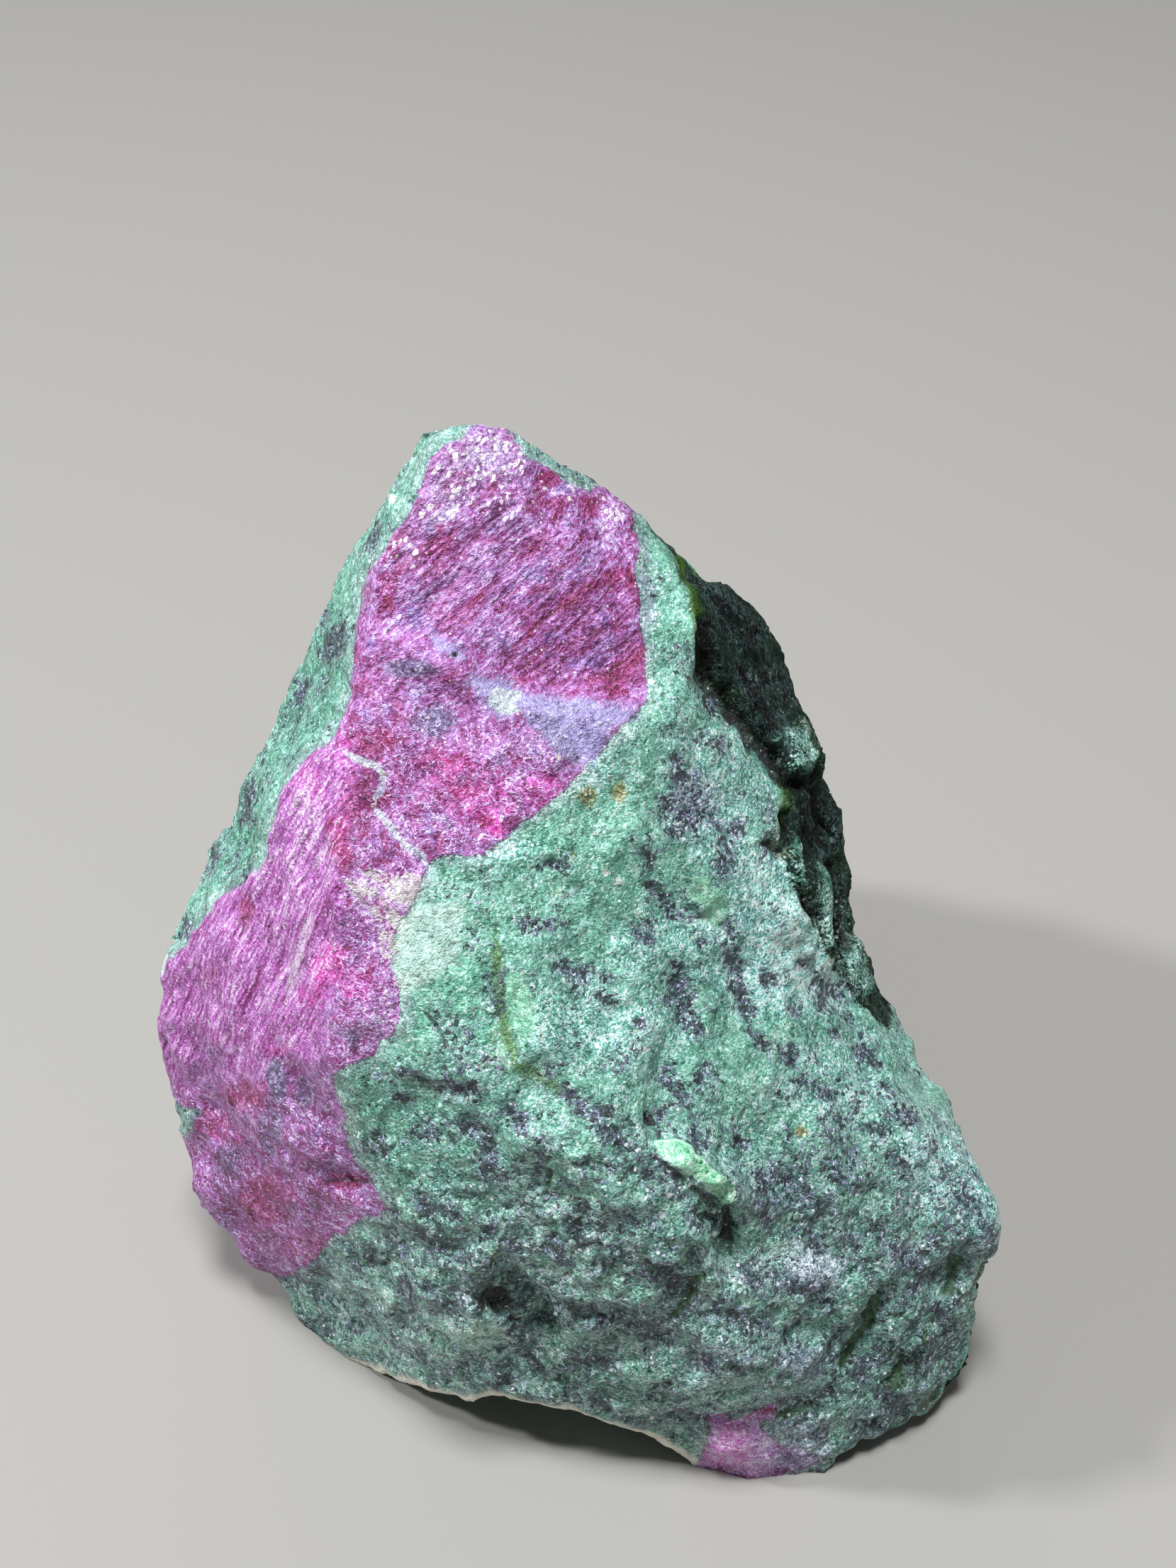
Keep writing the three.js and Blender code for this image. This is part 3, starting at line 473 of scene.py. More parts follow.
FROSTED = [
    (690, 645, 62, 44, 1.0), (630, 690, 34, 46, 0.9), (720, 700, 50, 40, 0.35), (600, 730, 24, 40, 0.5),
    (575, 770, 20, 40, 0.4), (640, 622, 22, 18, 0.7), (870, 720, 24, 34, 0.3), (800, 690, 30, 16, 0.4),
]
FRAYED = [
    (518, 1256, 38, 26, 0.6), (576, 1258, 30, 28, 0.9), (594, 1304, 24, 44, 0.75), (562, 1326, 30, 36, 0.8),
    (576, 1376, 26, 40, 0.8), (590, 1412, 20, 26, 0.7), (545, 1290, 30, 22, 0.55), (520, 1236, 16, 12, 0.5),
    (615, 1250, 16, 16, 0.5), (545, 1350, 12, 12, 0.5), (585, 1240, 16, 10, 0.5), (470, 1600, 8, 12, 0.3),
]
# Pits: hollows in the relief, with painted shade inside them.
PITS = [
    (1026, 1738, 11, 36, 1.0), (708, 1838, 22, 22, 0.9), (972, 1822, 12, 26, 0.45), (925, 1577, 8, 14, 0.7),
    (1000, 1712, 12, 10, 0.6), (728, 1868, 12, 14, 0.6), (560, 1710, 16, 9, 0.4), (650, 1940, 12, 20, 0.3),
    (1296, 1925, 9, 34, 0.6), (1252, 1960, 9, 30, 0.4), (1178, 1850, 10, 24, 0.4), (540, 1790, 8, 12, 0.4),
    (876, 1890, 26, 12, 0.4), (790, 1946, 20, 14, 0.4), (1105, 1060, 12, 22, 0.6), (1150, 1340, 8, 20, 0.5),
]
# Smoother places.
WORN = [
    (1320, 1550, 50, 60, 0.7), (1400, 1800, 80, 150, 0.6), (930, 860, 60, 140, 0.5),
    (1050, 1090, 90, 80, 0.4), (600, 1330, 50, 60, 0.5),
]
# Narrow clefts, painted dark green inside as shade.
CLEFTS = [
    (1196, 1924, 1238, 1832, 8), (1338, 1824, 1354, 1786, 9), (1378, 1842, 1390, 1776, 6),
    (1258, 1964, 1306, 1886, 6), (1300, 1994, 1334, 1962, 6), (986, 1800, 956, 1856, 7),
    (1150, 1990, 1100, 2000, 4), (768, 1690, 772, 1640, 4),
]
# Places where the outline stands back or swells, with the rise in millimetres.
PUSHES = [
    (996, 806, 40, 18, -0.5), (1196, 1215, 24, 50, 0.3), (1408, 1730, 60, 64, 0.7),
    (1300, 1515, 34, 40, -0.6), (1362, 1930, 44, 60, -0.6), (1310, 2000, 30, 24, -0.2),
    (230, 1362, 26, 36, 0.6), (232, 1480, 34, 90, 0.8), (326, 1165, 26, 50, -0.5), (256, 1580, 30, 50, 0.8),
    (290, 1710, 30, 60, 0.6), (350, 1790, 30, 40, 0.6),
]
ICY_GREEN = [
    (1000, 1150, 60, 80, 0.45), (1120, 1340, 140, 110, 1.0), (1210, 1530, 130, 110, 0.45),
    (1330, 1650, 80, 90, 0.9), (1145, 1800, 70, 46, 1.0), (1132, 1048, 24, 40, 1.0),
    (1080, 1230, 60, 60, 0.8), (1385, 1720, 26, 60, 0.9), (970, 1340, 130, 70, 0.5),
    (1010, 1100, 100, 90, 0.5), (810, 1090, 60, 34, 1.0), (720, 1200, 60, 20, 0.8),
    (860, 1450, 160, 70, 0.5), (930, 900, 40, 120, 0.2), (620, 1690, 40, 80, 0.4),
    (400, 1010, 60, 110, 0.25), (310, 1190, 50, 90, 0.25), (1050, 1640, 60, 60, 0.4),
    (1000, 1900, 120, 60, 0.3), (235, 1370, 12, 30, 1.0),
]
WHITE_SPOTS = [
    (917, 960, 5, 5, 1.0), (855, 1231, 6, 6, 0.9), (873, 1244, 7, 6, 1.0), (771, 687, 4, 4, 1.0),
    (804, 703, 6, 5, 1.0), (1203, 1868, 6, 5, 1.0), (1008, 1739, 5, 7, 0.8), (1050, 1800, 5, 4, 0.8),
    (983, 1834, 4, 4, 1.0), (946, 1686, 6, 4, 0.9), (920, 2007, 4, 4, 1.0), (899, 1996, 4, 3, 1.0),
    (787, 1067, 4, 4, 0.9), (1212, 1706, 9, 9, 0.5), (293, 1444, 4, 8, 0.7), (238, 1352, 8, 14, 0.8),
    (551, 702, 7, 9, 0.8), (913, 1480, 8, 6, 0.8),
]
BLACK_SPOTS = [
    (641, 921, 8, 5, 1.0), (637, 1334, 4, 2, 1.0), (816, 1072, 8, 8, 0.7), (560, 1380, 3, 6, 0.6),
]

# Places with fewer bands of hornblende.
FEW_BANDS = [
    (800, 1200, 190, 150, 1.0), (930, 880, 60, 160, 0.8), (650, 1900, 70, 50, 1.4), (500, 1850, 60, 50, 0.8),
    (850, 1900, 90, 60, 0.5),
]

# The right side beyond the brow: its own darker minerals, and painted shade where it turns away from the
# light.
SHADED_SIDE_OUTLINE = [
    (905, 725), (938, 765), (962, 800), (978, 845), (988, 900), (992, 945), (1005, 965), (1050, 1012),
    (1085, 1050), (1106, 1085), (1114, 1115), (1110, 1150), (1099, 1190), (1112, 1225), (1135, 1290),
    (1168, 1345), (1215, 1420), (1260, 1450), (1260, 1200), (1220, 1000), (1150, 850), (1040, 740),
    (950, 690),
]

# Ruby in the sides and back: centre and half sizes in millimetres.
BACK_RUBY = [
    ((7, 22, 24), (7, 7, 6)), ((-14, 15, 33), (5, 6, 4)), ((-3, 27, 9), (6, 6, 3.5)),
    ((19, 6, 10), (4, 7, 2.4)),
]
# The rim that the underside rests on, in millimetres.
UNDERSIDE_RIM = [
    (-15, -18), (-19, -15), (-20, -7), (-15, 19), (-2, 26), (13, 21), (20.5, -2), (21.5, -19), (16, -27),
    (11, -27.5), (7.5, -26.5), (5.5, -15), (-1, -5), (-11, -9),
]


def outline_distance(at, outline):
    """Distance from an outline in pixels, less than zero inside it."""
    corners = np.array(outline, float)
    nearest = np.full(len(at), 1e9)
    inside = np.zeros(len(at), bool)
    for start, end in zip(corners, np.roll(corners, -1, axis=0)):
        nearest = np.minimum(nearest, segment_distance(at, start, end))
        spans = (start[1] > at[:, 1]) != (end[1] > at[:, 1])
        rise = end[1] - start[1] if end[1] != start[1] else 1
        crossing = start[0] + (at[:, 1] - start[1]) * (end[0] - start[0]) / rise
        inside ^= spans & (at[:, 0] < crossing)
    return np.where(inside, -nearest, nearest)


def segment_distance(at, start, end):
    """Distance from a straight line between two places."""
    start, end = np.array(start, float), np.array(end, float)
    line = end - start
    share = np.clip((at - start) @ line / max(line @ line, 1e-9), 0, 1)
    return np.linalg.norm(at - start - share[:, None] * line, axis=1)


def line_offset(at, lines):
    """Distance from the nearest of the lines in pixels, with a sign for the side it is on."""
    nearest = np.full(len(at), 1e9)
    side = np.ones(len(at))
    for line in lines:
        for start, end in zip(line, line[1:]):
            gap = segment_distance(at, start, end)
            run = np.array(end, float) - start
            turn = run[0] * (at[:, 1] - start[1]) - run[1] * (at[:, 0] - start[0])
            side = np.where(gap < nearest, np.sign(turn), side)
            nearest = np.minimum(nearest, gap)
    return nearest * side


def patches(at, spots):
    """The strongest of some soft patches at each place."""
    value = np.zeros(len(at))
    for x, y, half_x, half_y, strength in spots:
        reach = np.hypot((at[:, 0] - x) / half_x, (at[:, 1] - y) / half_y)
        value = np.maximum(value, strength * (1 - ramp(0.35, 1.35, reach)))
    return value


def strokes(at, lines):
    """1 on each stroke's line, a half at its half width, and nothing at twice that."""
    value = np.zeros(len(at))
    for x0, y0, x1, y1, half in lines:
        value = np.maximum(value, 1 - 0.5 * segment_distance(at, (x0, y0), (x1, y1)) / half)
    return value


picture = in_picture(points)
to_camera = CAMERA_AT - points
to_camera /= np.linalg.norm(to_camera, axis=1)[:, None]
facing = np.einsum("ij,ij->i", normals, to_camera)
seen = ramp(-0.12, 0.1, facing)
unseen = 1 - seen
# The outlines waver a little, as the borders of grains do.
wavered = picture + np.stack([noise(points, 1.3, 1), noise(points, 1.3, 2)], axis=1) * 7

# The main crystal is cut off inside the stone, a little behind its front.
behind = points[:, 1] + 2 + 4 * noise(points, 7, 3)
ruby = np.maximum(outline_distance(wavered, RUBY_OUTLINE) * PIXEL_MM, behind)
toe = np.maximum(outline_distance(wavered, TOE_RUBY_OUTLINE) * PIXEL_MM, points[:, 1] + 20)
ruby = np.minimum(ruby, toe)
for centre, half in BACK_RUBY:
    reach = np.linalg.norm((points - centre) / np.array(half), axis=1)
    reach += 0.75 * noise(points, 4.5, 4) + 0.35 * noise(points, 1.6, 27)
    ruby = np.minimum(ruby, (reach - 1) * min(half) + 20 * (facing > 0.1))

hornblende = strokes(wavered, HORNBLENDE) * seen
rib = strokes(wavered, RIBS) * seen
groove = strokes(wavered, GROOVES) * seen
# Elsewhere the hornblende lies in short bands, thicker in some parts of the stone than in others.
banded = along(points, (0.5, -0.3, 0.8), 1.9)
back_bands = 0.62 + 0.75 * noise(banded, 3.4, 5) + 0.3 * noise(points, 1.5, 6) + 0.35 * noise(points, 14, 7)
lower = ramp(1450, 1800, picture[:, 1])
front_bands = 0.34 + (0.6 - 0.25 * lower) * noise(banded, 2.6, 5) + 0.3 * noise(points, 1.3, 6)
front_bands += 0.12 * lower - 0.16 * patches(picture, FEW_BANDS)
hornblende = np.maximum(hornblende, back_bands * unseen)
hornblende = np.maximum(hornblende, front_bands * seen * (0.75 + 0.35 * lower))

lilac = outline_distance(wavered, LILAC_OUTLINE)
lilac = np.minimum(lilac, outline_distance(wavered, LILAC_SLIVER_OUTLINE))
white = outline_distance(picture, WHITE_OUTLINE)
mint = outline_distance(wavered, MINT_OUTLINE)
lens = outline_distance(picture, LENS_OUTLINE)
side = outline_distance(wavered, SHADED_SIDE_OUTLINE)
plate = np.minimum(*[outline_distance(wavered, outline) for outline in PLATE_OUTLINES])
hidden = 40 * unseen  # keeps the front's markings off the other sides
# Round the corner the painted shade goes on in patches, where the surface faces right.
side = side * seen + (30 * (0.55 - normals[:, 0]) + 26 * noise(points, 6, 25)) * unseen

# The crushed, pale edge of the raised lip.
crush = (1 - ramp(0.45, 1.05, lip_gap + 0.3 * noise(points, 0.8, 23))) * ramp(-0.5, 0.0, facing)

# ---- The relief of the broken surface ----

FRAY = np.array([0.62, -0.25, -0.74])  # splinters beside the pale green patch, falling to the right
SIDE_FIBRE = np.array([0.45, -0.10, -0.88])  # down the steep right side
STRIA = np.array([0.76, 0.48, 0.43])  # across the upper ruby face, rising to the right
FIBRE = np.array([0.41, -0.10, 0.91])  # the steep fibres of the left ruby face

is_ruby = 1 - ramp(-0.25, 0.25, ruby)
striped = 1 - 0.85 * ramp(960, 1060, wavered[:, 1] - 0.15 * (wavered[:, 0] - 700))
left_facet = 1 - ramp(-14, 14, picture[:, 0] - (505 - (picture[:, 1] - 1060) * 0.12))
left_facet *= ramp(1020, 1080, picture[:, 1]) * (1 - ramp(1480, 1560, picture[:, 1]))

bent = points + 0.4 * np.stack([noise(points, 1.5, s) for s in (8, 9, 10)], axis=1)
zoisite_relief = (
    0.12 * noise(points, 2.7, 11)
    + 0.34 * chips(bent, 3.6, 12)
    + 0.30 * chips(bent, 1.6, 3)
    + 0.22 * noise(points, 0.9, 13)
)
stria_relief = (
    0.12 * folded(along(points, STRIA, 5), 0.95, 14)
    + 0.08 * noise(along(points, STRIA, 2.5), 1.6, 15)
    + 0.12 * noise(points, 0.9, 16)
)
sugary_relief = 0.24 * chips(bent, 1.7, 22) + 0.14 * noise(points, 0.9, 16)
stria_relief = stria_relief * striped + sugary_relief * (1 - striped)
fibre_relief = (
    0.20 * folded(along(points, FIBRE, 8), 0.9, 17)
    + 0.18 * noise(along(points, FIBRE, 5), 2.0, 18)
    + 0.07 * noise(points, 0.9, 19)
)
ruby_relief = stria_relief * (1 - left_facet) + fibre_relief * left_facet
zoisite_relief *= 0.55 + 0.45 * ramp(1450, 1750, picture[:, 1]) * seen + 0.4 * unseen
relief = zoisite_relief * (1 - is_ruby) + ruby_relief * is_ruby - 0.12
relief -= 0.1 * ramp(0.5, 0.8, hornblende) * (1 - is_ruby)

crack = line_offset(picture, CRACK_LINES)
vein = line_offset(picture, VEIN_LINES)
relief *= 0.25 + 0.75 * ramp(0.4, 2.5, lip_gap)
relief *= 1 - patches(picture, WORN) * seen
relief -= 0.2 * (1 - ramp(1.5, 7, np.abs(crack))) * seen
relief -= 0.12 * (1 - ramp(2, 8, np.abs(vein))) * seen
relief += 0.18 * (1 - ramp(-3, 4, lens)) * seen
relief += 0.55 * ramp(0.15, 0.75, rib) - 0.6 * ramp(0.1, 0.9, groove)
relief -= 0.25 * patches(picture, BLACK_SPOTS) * seen
pit = patches(wavered, PITS) * seen
cleft = strokes(wavered, CLEFTS) * seen
relief -= 0.75 * pit + 0.35 * ramp(0.3, 0.9, cleft)
for x, y, half_x, half_y, rise in PUSHES:
    relief += rise * patches(picture, [(x, y, half_x, half_y, 1.0)]) * ramp(-0.6, -0.1, facing)

on_ground = points[:, 2] < GROUND
step = normals.copy()
step[:, 2] *= ramp(0, 1.2, points[:, 2])
points = points + step * relief[:, None]
# The middle of the underside is a little hollow, and rests on its rim.
rim_gap = outline_distance(points[:, :2], UNDERSIDE_RIM)
hollow = ramp(1.0, 3.0, -rim_gap) * (0.22 + 0.35 * noise(points, 3.5, 20) + 0.15 * noise(points, 1.6, 21))
points[:, 2] = np.where(on_ground, np.maximum(0, hollow), np.maximum(points[:, 2], 0))

# ---- The piece ----

mesh = bpy.data.meshes.new("stone")
mesh.vertices.add(len(points))
mesh.vertices.foreach_set("co", (points * MM).astype(np.float32).ravel())
mesh.loops.add(triangles.size)
mesh.loops.foreach_set("vertex_index", triangles.astype(np.int32).ravel())
mesh.polygons.add(len(triangles))
mesh.polygons.foreach_set("loop_start", np.arange(0, triangles.size, 3, dtype=np.int32))
mesh.polygons.foreach_set("use_smooth", np.ones(len(triangles), bool))
mesh.update(calc_edges=True)
mesh.validate()


def keep(name, *values):
    """Stores one number or three for each point, for the material to read."""
    kind = "FLOAT" if len(values) == 1 else "FLOAT_VECTOR"
    attribute = mesh.attributes.new(name, kind, "POINT")
    stacked = np.stack(values, axis=1).astype(np.float32).ravel()
    attribute.data.foreach_set("value" if len(values) == 1 else "vector", stacked)


def spread(*lists):
    """The strength of each list's patches on the front."""
    return [patches(wavered, spots) * seen for spots in lists]


keep("ruby", ruby)
keep("hornblende", hornblende)
keep("ruby_tone", *spread(DEEP_RUBY, PALE_RUBY, HOT_RUBY))
keep("green_tone", *spread(LIGHT_GREEN, DARK_GREEN_AND_PAINTED_SHADE, VIVID_GREEN))
keep("other_tone", *spread(GREY_RUBY, OLIVE_GREEN, VIOLET_GREY))
keep("pale", lilac + hidden, white + hidden, mint + hidden)
keep("bright", lens + hidden, plate + hidden, line_offset(picture, OLIVE_LINES) + hidden)
keep("lines", crack + hidden, vein + hidden, line_offset(picture, STRIPE_LINES) + hidden)
keep("spots", patches(picture, WHITE_SPOTS) * seen, patches(picture, BLACK_SPOTS) * seen, crush)
keep("zones", *spread(FROSTED, FRAYED), side)
keep("left_facet", left_facet)
keep("ruby_painted_shade", *spread(RUBY_PAINTED_SHADE))
keep("more", *spread(ICY_GREEN), pit, striped)
keep("more_rock", cleft, lower * seen, rib)
keep("groove", groove)

stone = bpy.data.objects.new("rough_ruby_stone", mesh)
bpy.context.scene.collection.objects.link(stone)
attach(stone, "root")
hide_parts("rough_ruby")

# ---- Materials ----

# Sizes of the cells that stand for grains, flakes, needle bundles and painted glints, in millimetres.
GRAIN, FLAKE, SMALL_GLINT, LARGE_GLINT, BUNDLE = 0.29, 0.25, 0.30, 0.62, 0.85
BUMP_HEIGHT = 0.14 * MM
STONE_IOR = 1.6
MIDDLE = (0.5, 0.5, 0.5)

# Colours from dark to light, as sRGB from 0 to 255. One alone is a plain colour.
PALETTES = {
    "zoisite": ((18, 48, 40), (62, 122, 102), (106, 172, 152), (156, 212, 198), (228, 250, 244)),
    "grey green": ((26, 40, 34), (78, 104, 90), (124, 154, 138), (178, 206, 194), (238, 248, 244)),
    "icy": ((8, 32, 34), (38, 104, 104), (86, 170, 168), (150, 222, 218), (226, 250, 246)),
    "vivid": ((18, 60, 46), (68, 148, 118), (118, 200, 172), (170, 228, 208), (226, 248, 240)),
    "violet": ((30, 32, 50), (80, 88, 118), (122, 132, 166), (176, 186, 214), (236, 240, 250)),
    "olive": ((24, 24, 4), (66, 64, 20), (108, 104, 46), (164, 158, 98), (226, 220, 180)),
    # The shaded side: its darker minerals and painted shade, for the green and for its strands.
    "shaded steep side": ((2, 4, 2), (7, 12, 4), (20, 31, 12), (86, 108, 68)),
    "shaded side strand": ((14, 20, 8), (38, 50, 26), (78, 98, 62), (146, 164, 126)),
    "olive line": ((16, 34, 4), (58, 92, 22), (96, 144, 56), (150, 186, 116)),
    "ruby halo": ((60, 80, 84), (120, 140, 148), (176, 196, 200), (220, 232, 236)),
    "dusty": ((24, 40, 42), (72, 100, 102), (122, 156, 156), (184, 212, 214), (236, 246, 248)),
    "hornblende": ((7, 7, 15), (22, 23, 40), (52, 55, 84), (118, 126, 160), (220, 230, 244)),
    # Painted shade: the hornblende on the shaded side.
    "shaded side hornblende": ((3, 3, 3), (8, 9, 7), (18, 20, 15), (50, 58, 46), (130, 140, 130)),
    # Painted light on the ribs, and painted shade in the grooves.
    "rib": ((30, 62, 54), (78, 130, 116), (136, 192, 180), (218, 242, 236)),
    "groove": ((4, 6, 5), (12, 16, 12), (30, 38, 26), (84, 98, 78)),
    # Painted shade inside the pits.
    "pit": ((2, 4, 3), (6, 9, 7), (16, 22, 18), (70, 84, 78), (170, 186, 182)),
    # Painted shade inside the clefts.
    "cleft": ((10, 26, 10), (28, 58, 24), (54, 96, 42), (120, 160, 96)),
    "mint": ((130, 190, 174), (166, 210, 198), (194, 224, 216), (226, 242, 238)),
    "plate": ((64, 134, 104), (114, 188, 150), (158, 220, 184), (210, 242, 222)),
    "lens": ((48, 118, 88), (112, 194, 150), (166, 232, 196), (230, 252, 242)),
    "crushed edge": ((244, 238, 222),),
    # Painted glints: near-white colours where grains' cleavage faces would flash in the light.
    "painted small glint on rock": ((226, 242, 246),),
    "painted large glint on rock": ((244, 252, 252),),
    "rose": ((88, 14, 62), (136, 50, 116), (168, 104, 178), (202, 162, 226), (242, 226, 250)),
    "violet rose": ((62, 22, 74), (112, 62, 134), (152, 116, 188), (194, 172, 228), (238, 228, 250)),
    "crimson": ((92, 8, 44), (146, 28, 86), (180, 72, 136), (212, 146, 198), (242, 214, 238)),
    "fuchsia": ((150, 10, 92), (202, 32, 150), (226, 84, 200), (240, 150, 230), (248, 220, 248)),
    "dusk": ((32, 30, 50), (70, 66, 98), (112, 106, 148), (172, 168, 208), (228, 228, 244)),
    "orchid": ((100, 20, 88), (146, 58, 142), (178, 100, 184), (208, 152, 218), (240, 216, 244)),
    "frost": ((98, 50, 114), (144, 106, 166), (180, 160, 204), (226, 216, 240)),
    "flake": ((242, 234, 248),),
    "frayed": ((184, 138, 172), (214, 182, 204), (228, 212, 222), (240, 236, 238)),
    "stripe": ((150, 104, 158), (196, 164, 204), (222, 204, 228), (240, 228, 242)),
    "vein": ((120, 120, 150), (176, 180, 204), (222, 228, 230), (244, 246, 244)),
    # Painted glint on the ruby.
    "painted small glint on ruby": ((246, 232, 246),),
    "frayed edge": ((150, 170, 170), (206, 214, 208), (236, 238, 234)),
    "lilac": ((88, 78, 130), (130, 124, 180), (158, 157, 206), (196, 198, 228), (232, 234, 246)),
    "white": ((116, 122, 138), (178, 188, 200), (202, 212, 222), (232, 238, 242)),
    # Painted shade in the cracks.
    "crack": ((30, 30, 32),),
    "white spot": ((232, 238, 232),),
    "black spot": ((26, 24, 32),),
    "pale floor": ((149, 148, 145),),
}


def colour(red, green, blue):
    """A colour given as sRGB from 0 to 255, for a shader."""
    channels = [value / 255 for value in (red, green, blue)]
    linear = [c / 12.92 if c <= 0.04045 else ((c + 0.055) / 1.055) ** 2.4 for c in channels]
    return (*linear, 1.0)


class Field:
    """A number that a material works out at each place. Fields add, subtract and multiply."""

    def __init__(self, tree, socket):
        self.tree = tree
        self.socket = socket

    def __add__(self, other):
        return self.tree.math("ADD", self, other)

    def __sub__(self, other):
        return self.tree.math("SUBTRACT", self, other)

    def __rsub__(self, other):
        return self.tree.math("SUBTRACT", other, self)

    def __mul__(self, other):
        return self.tree.math("MULTIPLY", self, other)

    def __abs__(self):
        return self.tree.math("ABSOLUTE", self)

    __radd__ = __add__
    __rmul__ = __mul__


class MaterialTree:
    """Builds a material's nodes. An input is a field, another node's output or a plain value."""

    def __init__(self, name):
        self.material = bpy.data.materials.new(name)
        self.material.use_nodes = True
        self.nodes = self.material.node_tree.nodes
        self.links = self.material.node_tree.links
        self.nodes.clear()

    def node(self, kind, settings=(), **inputs):
        made = self.nodes.new(kind)
        for key, value in dict(settings).items():
            setattr(made, key, value)
        for key, value in inputs.items():
            self.connect(value, made.inputs[key.replace("_", " ")])
        return made

    def connect(self, value, socket):
        if isinstance(value, Field):
            value = value.socket
        if isinstance(value, bpy.types.NodeSocket):
            self.links.new(value, socket)
        else:
            socket.default_value = value

    def connect_all(self, values, sockets):
        for value, socket in zip(values, sockets):
            self.connect(value, socket)

    def math(self, operation, first, second=0.0):
        made = self.node("ShaderNodeMath", {"operation": operation})
        self.connect_all((first, second, 0.0), made.inputs)
        return Field(self, made.outputs[0])

    def vector(self, operation, first, second=(0, 0, 0), **inputs):
        made = self.node("ShaderNodeVectorMath", {"operation": operation}, **inputs)
        self.connect_all((first, second), made.inputs)
        return made.outputs["Value" if operation == "DOT_PRODUCT" else "Vector"]

    def ramp(self, value, low, high, bottom=0.0, top=1.0):
        """Goes smoothly from bottom, where the value is low, to top, where it is high."""
        made = self.node("ShaderNodeMapRange", {"interpolation_type": "SMOOTHSTEP"})
        self.connect_all((value, low, high, bottom, top), made.inputs)
        return Field(self, made.outputs[0])

    def fall(self, value, low, high):
        """Goes smoothly from 1, where the value is low, to 0, where it is high."""
        return self.ramp(value, low, high, 1.0, 0.0)

    def tones(self, value, palette):
        """A palette's colour for a value from 0 to 1, through evenly spaced colours."""
        shades = PALETTES[palette]
        if len(shades) == 1:
            return colour(*shades[0])
        made = self.node("ShaderNodeValToRGB")
        self.connect(value, made.inputs[0])
        stops = made.color_ramp.elements
        while len(stops) < len(shades):
            stops.new(0.5)
        for number, (stop, shade) in enumerate(zip(stops, shades)):
            stop.position = number / (len(shades) - 1)
            stop.color = colour(*shade)
        return made.outputs[0]

    def mix(self, share, first, second):
        made = self.node("ShaderNodeMix", {"data_type": "RGBA", "clamp_factor": True})
        self.connect_all((share, first, second), (made.inputs[0], made.inputs[6], made.inputs[7]))
        return made.outputs[2]

    def layered(self, base, *coats):
        """A colour under others laid over it in turn, each with its share, its value and its palette."""
        for share, value, palette in coats:
            base = self.mix(share, base, self.tones(value, palette))
        return base

    def stored(self, name, output="Fac"):
        """One number that the mesh keeps at each point."""
        return Field(self, self.node("ShaderNodeAttribute", {"attribute_name": name}).outputs[output])

    def parts(self, vector):
        return [Field(self, part) for part in self.node("ShaderNodeSeparateXYZ", Vector=vector).outputs]

    def stored_parts(self, name):
        """Three numbers that the mesh keeps at each point."""
        return self.parts(self.stored(name, "Vector"))

    def noise(self, place, size, detail=2.0, roughness=0.5, distortion=0.0):
        """Noise with swells of that size in millimetres, from 0 to 1 about a middle of 0.5."""
        inputs = {"Scale": 1 / size, "Detail": detail, "Roughness": roughness, "Distortion": distortion}
        return Field(self, self.node("ShaderNodeTexNoise", Vector=place, **inputs).outputs["Fac"])

    def cells(self, place, size):
        """Cells of that size in millimetres: the distance from each one's middle, and its own colour."""
        made = self.node("ShaderNodeTexVoronoi", Vector=place, Scale=1 / size)
        return Field(self, made.outputs["Distance"]), made.outputs["Color"]

    def centred(self, shade):
        """A texture's colour as a direction."""
        return self.vector("SUBTRACT", shade, MIDDLE)

    def stretched(self, place, direction, stretch):
        """Coordinates squeezed along a direction, so that a texture is stretched that way."""
        if isinstance(direction, np.ndarray):
            direction = tuple(float(x) for x in direction / np.linalg.norm(direction))
        length = Field(self, self.vector("DOT_PRODUCT", place, direction))
        shift = self.vector("SCALE", direction, Scale=length * (1 - 1 / stretch))
        return self.vector("SUBTRACT", place, shift)

    def finished(self, **inputs):
        """The material, with its surface made from these inputs."""
        surface = self.node("ShaderNodeBsdfPrincipled", **inputs)
        self.node("ShaderNodeOutputMaterial", Surface=surface.outputs[0])
        return self.material


tree = MaterialTree("ruby_in_zoisite")

# What the mesh keeps at its points.
deep, pale, hot = tree.stored_parts("ruby_tone")
light, dark, vivid = tree.stored_parts("green_tone")
grey, olive, violet = tree.stored_parts("other_tone")
lilac_gap, white_gap, mint_gap = tree.stored_parts("pale")
lens_gap, plate_gap, olive_gap = tree.stored_parts("bright")
crack_shade_gap, vein_gap, stripe_gap = tree.stored_parts("lines")
white_spot, black_spot, crushed = tree.stored_parts("spots")
frost, fray, shaded_side_gap = tree.stored_parts("zones")
icy, pit_painted_shade, is_striped = tree.stored_parts("more")
cleft_painted_shade, low, pale_rib_and_painted_light = tree.stored_parts("more_rock")
ruby_painted_shade = tree.stored("ruby_painted_shade")
groove_painted_shade = tree.stored("groove")
ruby_gap = tree.stored("ruby")
horn_level = tree.stored("hornblende")
is_left = tree.stored("left_facet")

